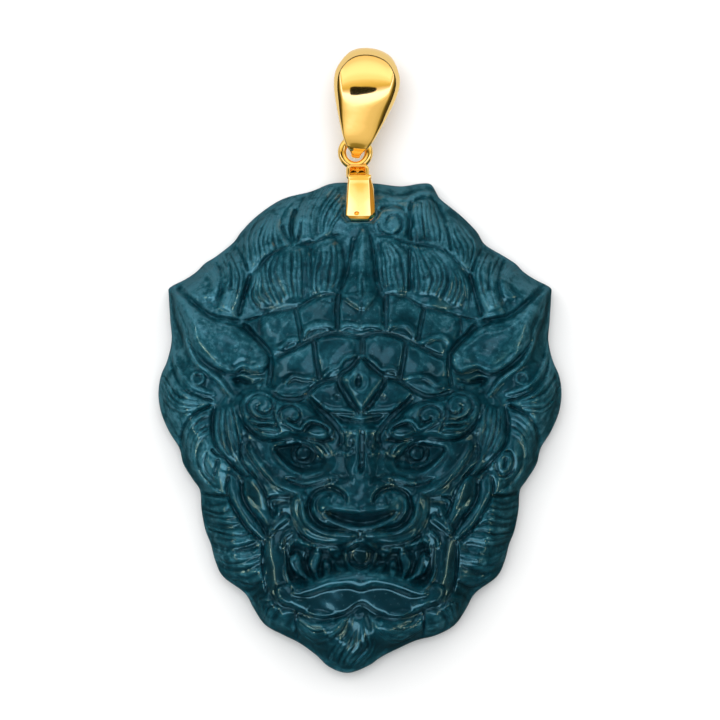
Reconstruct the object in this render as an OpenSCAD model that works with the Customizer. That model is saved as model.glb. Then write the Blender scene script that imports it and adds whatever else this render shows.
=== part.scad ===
// A carved jade pendant: a guardian lion's head with a flame-like mane, held by a gold clip
// with a pin, under a gold teardrop bail. Millimetres. The pendant lies on its flat back:
// +Z is the carved front, +Y the top of the head, and z = 0 is the surface it lies on.

/* [Stone] */
// Width of the stone across the side locks of its mane
stone_w = 42.6; // [36:0.2:50]
// Height of the upright wall round the stone's edge
rim_h = 1.9; // [1.2:0.1:2.6]
// Rise of the rounded shoulder from the wall to the mane
shoulder_h = 3.7; // [2.5:0.1:4.5]
// Width of the rounded shoulder, measured inwards from the edge
shoulder_w = 3.6; // [2.5:0.1:5]
// Rise of the whole front from the shoulder to the middle of the face
dome_h = 1.9; // [1:0.1:3]
// How much of the carved relief is raised, 1 being the real stone
relief = 1; // [0.6:0.05:1.2]
// Bevel between the flat back and the wall
back_bevel = 0.5; // [0.3:0.05:0.8]

/* [Clip] */
// Width of the clip's plates at the top
plate_top_w = 2.65; // [2.2:0.05:3]
// Width of the clip's plates at the bottom
plate_low_w = 3.25; // [2.8:0.05:3.6]
// Height of the front plate
plate_len = 3.9; // [3.4:0.1:4.4]
// Thickness of the plates
plate_t = 0.6; // [0.5:0.05:0.8]
// Thickness of the stone between the two plates
grip_t = 4.5; // [3.5:0.1:4.6]
// Diameter of the pin through the stone
pin_d = 0.8; // [0.6:0.1:1]
// Width of the neck above the stone
neck_w = 2.3; // [2:0.05:2.6]
// Mean radius of the ring
ring_r = 1.4; // [1.38:0.01:1.45]
// Wire diameter of the ring
ring_wire = 0.9; // [0.8:0.05:0.9]

/* [Bail] */
// Overall length of the bail
bail_len = 11.9; // [11:0.1:13]
// Greatest width of the bail's front
bail_w = 7.0; // [6:0.1:8]
// Overall depth of the bail at its head
bail_depth = 5.7; // [5.2:0.1:5.7]
// Wall thickness of the bail
bail_wall = 0.6; // [0.5:0.02:0.64]
// Lean of the bail to the right, in degrees
bail_lean = 8.6; // [0:0.2:10]

/* [Hidden] */
$fn = 48;
gap = 0.06;

// Every place on the stone is given at its drawn width, then scaled to stone_w.
DRAWN_W = 42.6;
fit = stone_w / DRAWN_W;
X = 0;
Y = 1;

// Centre of the carving, at the root of the nose, and how finely the stone is made.
HUB = [0, -5.8];
CELLS = 36;
STEPS = 5;

// The edge, clockwise from the clip, as x and y: first the top right with its scroll.
EDGE_TOP_RIGHT = [
    [1.6, 18.65], [4.3, 18.35], [6.4, 18.65], [7.5, 18.55], [8.1, 17.6],
    [8.6, 16.9], [10.6, 15.3], [12.3, 13.6], [13.2, 12.2]];
// One side of the mane, from above the ear down to the beard. The other side is its mirror.
EDGE_SIDE = [
    [15.15, 11.0], [16.4, 10.2], [17.3, 9.3], [18.5, 8.5], [20.1, 7.65], [20.2, 6.8],
    [20.05, 4.2], [19.9, 2.1], [20.35, 0], [21.05, -1.7], [21.3, -3.6], [21.0, -5.6],
    [20.15, -7.6], [19.1, -9.3], [18.65, -11.0], [17.6, -12.7], [16.9, -13.8],
    [16.75, -15.8], [16.35, -17.9], [15.75, -19.5], [15.3, -21.2], [14.45, -22.9],
    [12.2, -24.6], [11.2, -26.3], [10.0, -28.0], [8.0, -29.1]];
// The beard's point, from right to left.
EDGE_BEARD = [
    [6.0, -29.6], [4.0, -30.5], [2.2, -31.4], [0.9, -32.3], [-1.3, -33.07],
    [-3.3, -32.4], [-4.6, -31.2], [-6.4, -29.9]];
// The plain top left, from the mane up to the clip.
EDGE_TOP_LEFT = [
    [-13.4, 12.4], [-12.5, 13.6], [-10.8, 15.3], [-8.2, 17.0], [-5.2, 17.8],
    [-3.2, 18.6], [-1.4, 18.75]];
EDGE = concat(
    EDGE_TOP_RIGHT,
    EDGE_SIDE,
    EDGE_BEARD,
    [for (i = [len(EDGE_SIDE) - 1 : -1 : 0]) [-EDGE_SIDE[i][X], EDGE_SIDE[i][Y]]],
    EDGE_TOP_LEFT);

// Raised and sunken forms of the carving. Each is an oval with its centre, its two radii,
// its turn in degrees, its rise, and its softness: 0.5 is round-backed, 1 is a soft swell.
CX = 0;
CY = 1;
RX = 2;
RY = 3;
TURN = 4;
RISE = 5;
SOFT = 6;
// Forms that stand on both sides of the face, given for the right side.
PAIRED = [
    // ear: its leaf, its point, its root, and the two folds along its outer edge
    [13.9, 1.6, 5.6, 3.0, 27, 2.1, 0.5],
    [17.6, 5.0, 3.6, 1.8, 50, 1.5, 0.6],
    [11.2, 0.9, 2.2, 1.9, 20, 0.5, 0.7],
    [18.4, 1.2, 4.4, 0.9, 66, 1.0, 0.6],
    [15.9, -2.2, 2.5, 1.2, 32, 1.2, 0.6],
    // headdress plates, upper row and lower row
    [4.55, 4.35, 2.0, 1.85, -12, 0.8, 0.4],
    [8.6, 3.0, 2.1, 2.0, -18, 0.8, 0.4],
    [3.1, 0.4, 1.75, 1.9, -10, 0.7, 0.4],
    [6.75, -1.1, 2.1, 1.8, -15, 0.8, 0.4],
    // brow scrolls, outer, inner and innermost
    [10.1, -4.8, 2.2, 1.8, -12, 1.6, 0.5],
    [7.3, -5.9, 1.6, 1.5, 0, 1.4, 0.5],
    [4.3, -7.0, 1.7, 1.1, 20, 1.1, 0.6],
    // eye socket, eyeball and lower lid
    [6.1, -9.6, 3.0, 2.1, -6, -1.3, 0.8],
    [5.9, -9.7, 1.3, 1.25, 0, 1.4, 0.5],
    [6.2, -12.0, 3.1, 0.8, 6, 0.8, 0.7],
    // cheek, flesh beside the mouth, and upper lip
    [9.7, -11.2, 2.2, 4.0, -24, 1.3, 0.5],
    [11.0, -15.4, 1.6, 4.0, -33, 1.0, 0.6],
    [7.9, -16.8, 1.3, 1.9, 20, 0.8, 0.6],
    [4.9, -17.0, 2.6, 1.1, 38, 0.9, 0.5],
    // nostril wing and nostril
    [3.7, -15.1, 1.8, 1.8, -20, 1.2, 0.5],
    [3.0, -15.2, 0.9, 0.8, 0, -1.0, 0.8],
    // upper and lower fang, and the corner of the mouth
    [5.5, -19.2, 0.9, 1.3, 10, 1.1, 0.6],
    [6.6, -21.3, 1.0, 2.1, -14, 2.2, 0.5],
    [8.7, -21.6, 1.2, 3.5, 4, 1.5, 0.5],
    // side locks of the mane, from the ear down to the beard
    [19.0, -4.6, 1.9, 3.4, 12, 1.0, 0.5],
    [16.7, -6.2, 1.5, 2.6, 44, 0.9, 0.5],
    [13.5, -7.8, 1.3, 3.4, 6, 1.0, 0.5],
    [16.3, -10.6, 2.5, 3.3, 0, 1.2, 0.5],
    [15.2, -11.0, 1.1, 1.4, 0, -1.1, 0.8],
    [14.8, -15.6, 1.9, 1.4, 0, 0.8, 0.5],
    [13.9, -18.3, 2.5, 1.2, 5, 0.9, 0.5],
    [13.0, -20.8, 2.6, 1.3, 8, 0.9, 0.5],
    [12.4, -23.1, 2.2, 1.1, 25, 0.8, 0.5],
    [9.6, -26.8, 1.5, 2.2, 35, 1.0, 0.5],
    [7.0, -27.9, 1.2, 1.3, 0, 0.7, 0.6],
    [4.3, -28.4, 2.5, 1.6, 6, 1.1, 0.5],
    // bundles of hair above the headdress
    [8.1, 8.7, 3.0, 2.9, -24, 1.5, 0.5],
    [3.6, 9.6, 1.5, 3.0, -4, 1.3, 0.5],
    [13.4, 7.4, 1.2, 3.4, 14, 1.1, 0.5],
    [16.3, 8.2, 2.3, 1.6, -30, 0.9, 0.6],
    [11.1, 12.2, 1.7, 2.9, 30, 1.0, 0.5],
    [8.6, 13.6, 1.1, 2.6, 25, 0.8, 0.6]];
// Forms that stand on the middle line or on one side alone.
SINGLE = [
    // face, forehead, muzzle, nose and its bridge
    [0, -9.0, 12.8, 19.2, 0, 2.2, 0.6],
    [0, 1.8, 10.6, 6.2, 0, 1.0, 0.6],
    [0, -14.6, 6.6, 4.6, 0, 1.5, 0.6],
    [0, -13.8, 3.2, 2.5, 0, 1.5, 0.55],
    [0, -9.2, 1.4, 3.2, 0, 0.9, 0.7],
    // open mouth, the pearl in it, and the lower lip
    [0, -20.4, 6.4, 2.6, 0, -3.0, 0.4],
    [0, -20.4, 1.7, 1.6, 0, 1.7, 0.5],
    [0, -23.6, 7.6, 1.6, 0, 1.5, 0.5],
    [0, -25.2, 8.8, 1.9, 0, 0.9, 0.5],
    // middle plate, forehead diamond, crest
    [0.1, 4.8, 2.3, 2.2, 0, 0.8, 0.4],
    [0.1, -2.4, 2.1, 2.9, 0, 0.9, 0.6],
    [0.3, 10.2, 1.1, 4.2, 0, 1.7, 0.5],
    // top locks: left fan, then round scroll and corner scroll on the right
    [-5.6, 14.6, 2.4, 2.2, 20, 1.0, 0.5],
    [-2.4, 15.0, 1.3, 2.6, -20, 0.8, 0.6],
    [3.5, 14.8, 1.8, 1.6, 0, 1.2, 0.5],
    [7.0, 15.8, 1.3, 2.2, 10, 1.0, 0.5],
    // point of the beard
    [-0.8, -30.4, 2.2, 2.4, -20, 1.0, 0.5]];

// Cut lines of the carving: half their width, their depth, and the path they follow.
HALF = 0;
DEPTH = 1;
PATH = 2;
// Cut lines on both sides of the face, given for the right side.
PAIRED_CUTS = [
    // upper, middle and lower arcs of the headdress, and its joints
    [0.6, 0.7, [[2.6, 7.0], [6.6, 5.5], [12.2, 4.0]]],
    [0.55, 0.6, [[0, 2.5], [2, 2.8], [4.5, 2.2], [9.2, 0.3]]],
    [0.55, 0.7, [[2.2, -1.7], [6.0, -3.5], [9.4, -3.5]]],
    [0.5, 0.6, [[2.5, 7.0], [2.5, 3.1]]],
    [0.5, 0.6, [[6.7, 5.4], [6.1, 1.9]]],
    [0.5, 0.6, [[4.8, 2.0], [4.2, -2.2]]],
    [0.6, 0.9, [[12.4, 3.6], [9.4, 0.4], [9.2, -3.2]]],
    // hollow under the ear's leaf and under its folds
    [0.8, 1.3, [[10.0, -2.2], [13.2, -2.3], [15.4, -1.1], [17.2, 0.6], [18.6, 3.6]]],
    [0.6, 0.9, [[19.4, 0.6], [18.2, -2.4], [15.6, -3.9]]],
    // brow line, brow's lower edge, upper lip
    [0.5, 0.6, [[5.4, -3.9], [2.2, -7.2]]],
    [0.65, 0.9, [[1.6, -7.4], [3.4, -8.2], [7.6, -7.8], [11.6, -8.0]]],
    [0.6, 0.9, [[0, -18.6], [3.6, -18.9], [6.0, -17.8]]],
    // fold under the cheek and the hollow of the mouth's corner
    [0.6, 0.8, [[7.0, -14.4], [9.2, -14.6], [9.6, -15.8]]],
    [0.6, 0.9, [[7.8, -19.0], [7.6, -21.5], [6.9, -23.2]]],
    // under the lower lip, under the jaw, up its side and along the face's side
    [0.6, 0.8, [[0, -24.2], [2.4, -24.3], [5.6, -25.0], [7.6, -24.8]]],
    [0.7, 1.3, [[0, -26.2], [2.6, -27.1], [5.4, -27.1], [8.6, -25.8]]],
    [0.7, 1.2, [[8.6, -25.8], [9.8, -23.6], [10.0, -19.2]]],
    [0.7, 1.2, [[10.0, -19.2], [13.4, -14.6], [13.7, -12.2]]],
    [0.6, 0.8, [[11.6, -12.2], [12.1, -9.6], [11.9, -8.0]]],
    // between the locks of the mane
    [0.7, 1.0, [[18.9, -9.8], [18.2, -6.6], [15.2, -4.6]]],
    [0.6, 0.9, [[15.3, -5.0], [15.2, -9.4]]],
    [0.7, 1.0, [[16.8, -14.2], [13.6, -14.0]]],
    [0.5, 0.7, [[16.2, -17.0], [12.6, -17.1]]],
    [0.5, 0.7, [[15.6, -19.6], [11.2, -19.4]]],
    [0.5, 0.7, [[15.0, -22.1], [10.6, -21.9]]],
    [0.6, 0.9, [[12.6, -24.3], [10.0, -24.4]]],
    [0.6, 0.9, [[7.9, -29.1], [7.9, -26.6]]],
    [0.6, 0.9, [[6.2, -29.3], [6.2, -27.0]]],
    [0.7, 1.1, [[1.1, -26.8], [1.7, -29.2], [3.6, -30.4]]],
    // between the hair bundles: above the headdress, beside the crest, above the ear
    [0.7, 1.1, [[1.2, 13.2], [5.0, 12.3], [8.0, 11.8], [11.5, 8.8]]],
    [0.6, 0.9, [[1.1, 12.6], [1.5, 9.0], [2.5, 7.3]]],
    [0.5, 0.7, [[5.2, 11.8], [5.2, 7.2]]],
    [0.7, 1.2, [[13.4, 12.0], [11.7, 8.8], [12.8, 4.6]]],
    [0.5, 0.7, [[15.2, 10.6], [14.4, 8.0], [14.8, 5.4]]],
    [0.7, 1.0, [[12.8, 4.2], [15.4, 4.9], [19.6, 8.0]]],
    [0.6, 0.8, [[9.6, 14.6], [9.6, 11.2]]]];
// Cut lines round the two scrolls at the top right and the fan of hair at the top left.
SINGLE_CUTS = [
    [0.6, 0.9, [[2.0, 15.6], [3.4, 16.7], [5.2, 16.2], [5.4, 12.6]]],
    [0.5, 0.7, [[2.6, 14.4], [3.6, 15.6], [4.6, 14.6]]],
    [0.5, 0.7, [[5.6, 16.6], [7.4, 17.4], [8.6, 16.4]]],
    [0.6, 0.9, [[-7.0, 12.4], [-7.2, 14.4], [-6.4, 16.6]]],
    [0.5, 0.8, [[-3.0, 13.2], [-4.2, 15.4], [-4.4, 17.4]]]];

// Place and level of the clip: the seats cut into the stone are flat.
CLIP_X = 0.05;
CLIP_TOP = 18.85 * fit;
BACK_SEAT = plate_t + 2 * gap;
FRONT_SEAT = BACK_SEAT + grip_t;
PIN_Y = CLIP_TOP - 2.0;
RING_X = -0.49;
RING_Y = CLIP_TOP + 3.05;
MID_Z = gap + plate_t + (grip_t + 2 * gap) / 2;

// Place of the bail's tip, in the ring, and how finely the bail is made.
TIP_X = -0.5;
TIP_Y = RING_Y - 0.68;
BAIL_STEPS = 3;
ACROSS = [-1, -0.88, -0.55, 0, 0.55, 0.88, 1];
// The bail's strip seen from the side, as height above the tip, depth, and half its width:
// from the top down the front, round the tip, and up the back.
LOOP = [
    [11.6, 0, 2.6], [11.2, 1.05, 3.2], [10.5, 1.75, 3.38], [9.6, 2.25, 3.48], [8.6, 2.5, 3.5],
    [7.6, 2.55, 3.44], [6.6, 2.48, 3.29], [5.6, 2.28, 3.04], [4.0, 1.78, 2.46],
    [2.6, 1.3, 1.87], [1.6, 0.98, 1.28], [0.95, 0.8, 0.62], [0.42, 0.45, 0.5],
    [0.3, 0, 0.5], [0.42, -0.45, 0.5], [0.95, -0.78, 0.6], [1.6, -0.95, 0.78],
    [2.6, -1.22, 1.2], [4.0, -1.65, 1.62], [5.6, -2.12, 1.85], [6.6, -2.35, 1.95],
    [7.6, -2.5, 2.05], [8.6, -2.55, 2.18], [9.6, -2.25, 2.2], [10.5, -1.75, 2.2],
    [11.2, -1.05, 2.3]];

// Smooth curve through the points of a closed list, between point i and the next.
function curve_at(pts, i, t) =
    let (n = len(pts),
         a = pts[(i + n - 1) % n], b = pts[i], c = pts[(i + 1) % n], d = pts[(i + 2) % n])
    (2 * b + (c - a) * t + (2 * a - 5 * b + 4 * c - d) * t * t
        + (3 * b - a - 3 * c + d) * t * t * t) / 2;

// The edge as a table of angle and radius seen from the hub, over one turn and a bit.
function edge_table() =
    let (pts = [for (i = [0 : len(EDGE) - 1], k = [0 : STEPS - 1]) curve_at(EDGE, i, k / STEPS)],
         polar = [for (p = pts) [atan2(p[Y] - HUB[Y], p[X] - HUB[X]), norm(p - HUB)]])
    concat(polar,
        [for (p = polar) if (p[0] > 150) [p[0] - 360, p[1]]],
        [for (p = polar) if (p[0] < -150) [p[0] + 360, p[1]]]);

function sum(list) = list * [for (v = list) 1];

// Rise of one oval form at a place on the stone.
function form_at(p, f) =
    let (dx = p[X] - f[CX], dy = p[Y] - f[CY],
         u = (dx * cos(f[TURN]) + dy * sin(f[TURN])) / f[RX],
         v = (dy * cos(f[TURN]) - dx * sin(f[TURN])) / f[RY],
         q = u * u + v * v)
    q < 1 ? f[RISE] * pow(1 - q, f[SOFT]) : 0;

// Distance from a place to one straight stretch.
function reach_of(p, a, b) =
    let (d = b - a, t = max(0, min(1, (p - a) * d / (d * d))))
    norm(p - a - t * d);

// Depth of one cut line at a place on the stone.
function cut_at(p, c) =
    let (path = c[PATH],
         q = min([for (i = [1 : len(path) - 1]) reach_of(p, path[i - 1], path[i])]) / c[HALF])
    q < 1 ? c[DEPTH] * pow(1 - q * q, 2) : 0;

// Height of the front at a place whose distance from the edge is known.
function front_z(p, inset, share) =
    let (both = [abs(p[X]), p[Y]],
         carving = sum([for (f = SINGLE) form_at(p, f)])
             + sum([for (f = PAIRED) form_at(both, f)])
             - max([for (c = PAIRED_CUTS) cut_at(both, c)])
             - max([for (c = SINGLE_CUTS) cut_at(p, c)]),
         calm = min(1, inset / 0.9))
    rim_h + shoulder_h * sin(90 * min(1, inset / shoulder_w)) + dome_h * (1 - share * share)
        + relief * calm * carving;

// The stone before its clip seats are cut. Its front is a square grid of (2 CELLS + 1) rows
// drawn out to the edge: each square ring of the grid becomes one ring round the hub, so the
// cells stay about equal. A wall and a bevel follow its outermost ring down to the flat back.
module stone_blank() {
    table = edge_table();
    // the angle at which a grid place (i, j) on square ring k is seen from the hub
    function turn_of(i, j, k) =
        i == k ? 45 * j / k
        : j == k ? 90 - 45 * i / k
        : i == -k ? (j >= 0 ? 180 - 45 * j / k : -180 - 45 * j / k)
        : -90 + 45 * i / k;
    function front_point(i, j) =
        let (k = max(abs(i), abs(j)), share = k / CELLS,
             a = k == 0 ? 0 : turn_of(i, j, k), reach = lookup(a, table),
             p = HUB + reach * share * [cos(a), sin(a)])
        [p[X] * fit, p[Y] * fit, front_z(p, (1 - share) * reach, share)];
    // the outermost square ring, counterclockwise from its lower right corner
    rim = concat(
        [for (j = [-CELLS : CELLS - 1]) [CELLS, j]],
        [for (i = [CELLS : -1 : 1 - CELLS]) [i, CELLS]],
        [for (j = [CELLS : -1 : 1 - CELLS]) [-CELLS, j]],
        [for (i = [-CELLS : CELLS - 1]) [i, -CELLS]]);
    count = len(rim);
    side = 2 * CELLS + 1;
    function skirt_point(c, inset, z) =
        let (a = turn_of(c[0], c[1], CELLS), p = HUB + (lookup(a, table) - inset) * [cos(a), sin(a)])
        [p[X] * fit, p[Y] * fit, z];
    points = concat(
        [for (i = [-CELLS : CELLS], j = [-CELLS : CELLS]) front_point(i, j)],
        [for (c = rim) skirt_point(c, 0, back_bevel)],
        [for (c = rim) skirt_point(c, back_bevel, 0)]);
    function grid_id(i, j) = (i + CELLS) * side + j + CELLS;
    function ring_id(row, n) =
        row == 0 ? grid_id(rim[n % count][0], rim[n % count][1])
                 : side * side + (row - 1) * count + n % count;
    // each cell is halved along the diagonal that points away from the hub
    front = [for (i = [-CELLS : CELLS - 1], j = [-CELLS : CELLS - 1], half = [0, 1])
        let (a = grid_id(i, j), b = grid_id(i + 1, j), c = grid_id(i + 1, j + 1),
             d = grid_id(i, j + 1), outward = (i + 0.5) * (j + 0.5) > 0)
        outward ? (half == 0 ? [a, c, b] : [a, d, c]) : (half == 0 ? [a, d, b] : [b, d, c])];
    skirt = [for (row = [0, 1], n = [0 : count - 1], half = [0, 1])
        half == 0 ? [ring_id(row, n), ring_id(row, n + 1), ring_id(row + 1, n)]
                  : [ring_id(row, n + 1), ring_id(row + 1, n + 1), ring_id(row + 1, n)]];
    polyhedron(points, concat(front, skirt, [[for (n = [0 : count - 1]) ring_id(2, n)]]));
}

// Outline of a clip plate, hanging from its top edge, with its lower corners cut off.
module plate_outline(len, grow = 0) {
    corner = 0.55;
    top = plate_top_w / 2 + grow;
    low = plate_low_w / 2 + grow;
    polygon([
        [-top, grow], [top, grow], [low, corner - len - grow], [low - corner, -len - grow],
        [corner - low, -len - grow], [-low, corner - len - grow]]);
}

module jade_head() {
    seat_len = plate_len + 0.2;
    color("darkslategray")
    difference() {
        stone_blank();
        // front seat, back seat, and the hole for the pin
        translate([CLIP_X, CLIP_TOP, FRONT_SEAT])
        linear_extrude(10) plate_outline(seat_len, 0.3);
        translate([CLIP_X, CLIP_TOP, -1])
        linear_extrude(1 + BACK_SEAT) plate_outline(plate_len, 3 * gap);
        translate([CLIP_X, PIN_Y, -1])
        cylinder(d = pin_d + 2 * gap, h = 20);
    }
}

// Plates, bridge over the stone's edge, pin, neck and ring, soldered into one.
module clip() {
    bridge_h = 0.7;
    neck_top = RING_Y - ring_r;
    full_z = 2 * (MID_Z - gap);
    window = [1.35, 0.95, 0.9];
    color("gold") {
        difference() {
            union() {
                translate([CLIP_X, CLIP_TOP, gap + plate_t + grip_t + 2 * gap])
                linear_extrude(plate_t) plate_outline(plate_len);
                translate([CLIP_X, CLIP_TOP, gap])
                linear_extrude(plate_t) plate_outline(plate_len - 0.5);
                translate([CLIP_X - plate_top_w / 2, CLIP_TOP, gap])
                cube([plate_top_w, bridge_h, full_z]);
                translate([CLIP_X - 0.3 - neck_w / 2, CLIP_TOP, MID_Z - 1.5])
                cube([neck_w, neck_top - CLIP_TOP, 3]);
            }
            translate([CLIP_X - 0.3 - window[0] / 2, CLIP_TOP + 0.25, MID_Z + 1.5 - window[2]])
            cube([window[0], window[1], 10]);
        }
        translate([CLIP_X, PIN_Y, gap + plate_t / 2])
        cylinder(d = pin_d, h = full_z - plate_t);
        translate([RING_X, RING_Y, MID_Z])
        rotate_extrude() translate([ring_r, 0]) circle(d = ring_wire, $fn = 24);
    }
}

// Place n of the bail's strip: height above the tip, depth and half width.
function strip_at(n) =
    let (p = curve_at(LOOP, floor(n / BAIL_STEPS), n / BAIL_STEPS - floor(n / BAIL_STEPS)))
    [p[0] * bail_len / 11.9, p[1] * (bail_depth - bail_wall) / 5.1, p[2] * bail_w / 7];

// The bail: the strip swept round its loop. Across its width it is bent down along an
// ellipse, deepest where the front is widest.
module bail() {
    count = len(LOOP) * BAIL_STEPS;
    sides = 2 * len(ACROSS);
    function section(n) =
        let (c = strip_at(n), a = strip_at((n + count - 1) % count), b = strip_at((n + 1) % count),
             run = [b[0] - a[0], b[1] - a[1]], out = [run[1], -run[0]] / norm(run), half = c[2],
             drop = 0.05 * half
                 + 0.62 * max(0, half - 1.2) * max(0.1, min(1, 0.5 + c[1] / 1.6)))
        [for (k = [0 : sides - 1])
            let (outer = k < len(ACROSS), across = outer ? ACROSS[k] : -ACROSS[k - len(ACROSS)],
                 edge = abs(across) == 1 ? 0.6 : 1,
                 lift = edge * bail_wall / 2 * (outer ? 1 : -1)
                     - drop / 0.6325 * (1 - sqrt(1 - pow(0.93 * across, 2))))
            [across * half, c[0] + lift * out[0], c[1] + lift * out[1]]];
    points = [for (n = [0 : count - 1]) each section(n)];
    function id(n, k) = (n % count) * sides + k % sides;
    faces = [for (n = [0 : count - 1], k = [0 : sides - 1], half = [0, 1])
        half == 0 ? [id(n, k), id(n, k + 1), id(n + 1, k)]
                  : [id(n, k + 1), id(n + 1, k + 1), id(n + 1, k)]];
    color("gold")
    translate([TIP_X, TIP_Y, MID_Z])
    rotate([0, 0, -bail_lean])
    polyhedron(points, faces);
}

jade_head();
clip();
bail();
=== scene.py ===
"""A carved jade pendant with its gold clip and bail, lying on its flat back, seen from above.

The stone is one closed surface. Its front is a square grid drawn out to the edge of the mane,
and its height is a shouldered dome with raised pads, ridges, lips and cut lines, all worked
out as whole arrays. The clip and the bail are sections carried along bent lines. Sizes and
tables are in millimetres, +X to the right, +Y up the head, +Z out of the front.
"""
import math

import bpy
import numpy as np
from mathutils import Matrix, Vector


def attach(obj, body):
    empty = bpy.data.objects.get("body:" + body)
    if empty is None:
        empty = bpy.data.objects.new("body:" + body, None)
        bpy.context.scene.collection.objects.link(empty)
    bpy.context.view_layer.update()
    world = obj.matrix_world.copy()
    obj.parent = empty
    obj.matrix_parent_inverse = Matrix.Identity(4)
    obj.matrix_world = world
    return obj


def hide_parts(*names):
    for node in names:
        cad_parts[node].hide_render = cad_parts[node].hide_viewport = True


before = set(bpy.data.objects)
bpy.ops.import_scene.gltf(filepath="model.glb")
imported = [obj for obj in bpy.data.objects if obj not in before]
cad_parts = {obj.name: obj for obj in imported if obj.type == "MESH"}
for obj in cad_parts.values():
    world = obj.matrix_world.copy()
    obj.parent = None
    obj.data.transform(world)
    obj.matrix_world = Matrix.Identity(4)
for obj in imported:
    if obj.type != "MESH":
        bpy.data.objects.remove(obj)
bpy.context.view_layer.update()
MM = 0.001

# Stone: grid cells from the hub to the edge, the hub, the height of the wall round the edge,
# height and width of the shoulder, height of the dome, and width of the plain edge.
CELLS = 140
HUB = np.array([0.0, -5.8])
RIM_H, SHOULDER_H, SHOULDER_W, DOME_H, EDGE_W = 1.9, 3.7, 3.6, 1.8, 0.9
# Wall, rounded foot and back of the stone: distance inside the edge, height.
SKIRT = np.array([(0, 1.3), (0, 0.75), (0.03, 0.4), (0.16, 0.14), (0.5, 0), (1.6, 0), (3.0, 0),
                  (3.9, 0), (4.08, 0), (4.2, 0), (6, 0), (10, 0), (15, 0)])

# Clip: its middle line and top edge, the middle height of neck, ring and bail, the half
# thickness of its plates and the bend over the top, half widths at the top and the foot, the
# cut corner, and where the front and the back plate end.
CLIP_X, CLIP_TOP, MID_Z = 0.05, 18.85, 2.97
PLATE_HALF, BEND, TOP_HALF, FOOT_HALF, CORNER = 0.3, 0.35, 1.325, 1.625, 0.55
FRONT_FOOT, BACK_FOOT = 14.65, 15.45
# Seats that the plates lie in: height of the floor, length below the top edge, and gap round
# the plate. A plate lies SEAT_GAP off the floor.
FRONT_SEAT, FRONT_LENGTH, FRONT_GAP = 5.22, 4.1, 0.3
BACK_SEAT, BACK_LENGTH, BACK_GAP = 0.72, 3.9, 0.18
SEAT_GAP = 0.06
# Neck: half width, half height, corner and height of each rectangle, and the neck's middle.
NECK_X, NECK_Y = -0.25, 19.78
NECK = np.array([(1.0, .6, .3, 1.47), (1.15, .74, .42, 1.56), (1.22, .8, .5, 1.8),
                 (1.25, .84, .5, 3.0), (1.22, .82, .5, 4.1), (1.14, .76, .42, 4.36),
                 (1.02, .68, .34, 4.47), (.9, .6, .26, 4.5), (.82, .55, .2, 4.44),
                 (.78, .5, .16, 4.3), (.6, .4, .12, 3.75), (.2, .2, .05, 3.2),
                 (.04, .04, .02, 3.15)])
# Ring: middle, radius, half thickness of its wire.
RING_X, RING_Y, RING_R, RING_WIRE = -0.49, 21.9, 1.4, 0.45

# Bail: its tip, its lean in degrees, half its thickness, and its strip seen from the side, as
# height above the tip, depth and half width, down the front, round the tip and up the back.
TIP_X, TIP_Y, BAIL_LEAN, BAIL_HALF = -0.5, 21.22, 8.6, 0.3
BAIL_LOOP = [
    (11.6, 0, 2.3), (11.2, 1.05, 2.75), (10.5, 1.75, 3.13), (9.6, 2.25, 3.4), (8.6, 2.5, 3.5),
    (7.6, 2.55, 3.44), (6.6, 2.48, 3.29), (5.6, 2.28, 3.04), (4.0, 1.86, 2.46), (2.6, 1.5, 1.9),
    (1.9, 1.28, 1.6), (1.35, .98, 1.25), (.95, .72, .85), (.6, .42, .55), (.33, .02, .5),
    (.42, -.45, .5), (.95, -.78, .6), (1.6, -.95, .78), (2.6, -1.22, 1.2), (4.0, -1.65, 1.62),
    (5.6, -2.12, 1.85), (6.6, -2.35, 1.95), (7.6, -2.5, 2.05), (8.6, -2.55, 2.18),
    (9.6, -2.25, 2.2), (10.5, -1.75, 2.1), (11.2, -1.05, 2.0)]

# Tents over the gold: height, width as a tangent, and radiance. Their bands are given by the
# tangent of the angle north of overhead, and colour. The slot is the dark mirror image of the
# camera in the bail: place east and north, half width and half height, as tangents.
TENT_H, TENT_SPAN, TENT_RADIANCE = 300, 24, 1.4
TENT_W = TENT_H * TENT_SPAN
BAIL_TENT = [(-12, (.04, .03, .01)), (-2.2, (.05, .04, .01)), (-1.15, (.2, .17, .05)),
             (-.95, (.48, .42, .25)), (-.43, (.62, .55, .38)), (-.36, (.85, .8, .65)),
             (-.28, (1.2, 1.25, 1.7)), (-.08, (1.3, 1.4, 2.1)), (.04, (.5, .38, .12)),
             (.2, (.62, .52, .22)), (.4, (.88, .83, .65)), (.7, (1, .98, .9)),
             (3, (.75, .68, .55)), (12, (.6, .48, .25))]
BAIL_SLOT = (.17, .02, .6, .12)
CLIP_TENT = [(-12, (.1, .05, .01)), (-2, (.3, .16, .03)), (-.9, (.36, .22, .05)),
             (-.35, (.75, .65, .4)), (-.08, (1.2, 1.3, 1.8)), (.12, (.95, .9, .75)),
             (.35, (.7, .55, .2)), (12, (.3, .18, .03))]
# Lamps that only the stone sees: name, place, size, radiance, colour.
TEAL, LIME = (.45, .85, 1), (.85, 1, .7)
STONE_LAMPS = [
    ("stone_room", (0, 0, 700), (3000, 3000), .035, (.4, .9, 1)),
    ("stone_sky", (-30, 40, 420), (260, 190), 1.25, (.45, .82, 1)),
    ("stone_card", (-60, -330, 220), (460, 160), 3.8, TEAL),
    ("stone_top", (-100, 330, 260), (300, 100), 1.0, TEAL),
    ("stone_west", (-400, 60, 260), (500, 60), 2.4, TEAL),
    ("stone_east", (400, 60, 260), (500, 40), 1.8, TEAL),
    ("stone_left", (-285, -165, 130), (330, 5), 34, LIME),
    ("stone_right", (285, -165, 130), (330, 5), 34, LIME),
]
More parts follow.
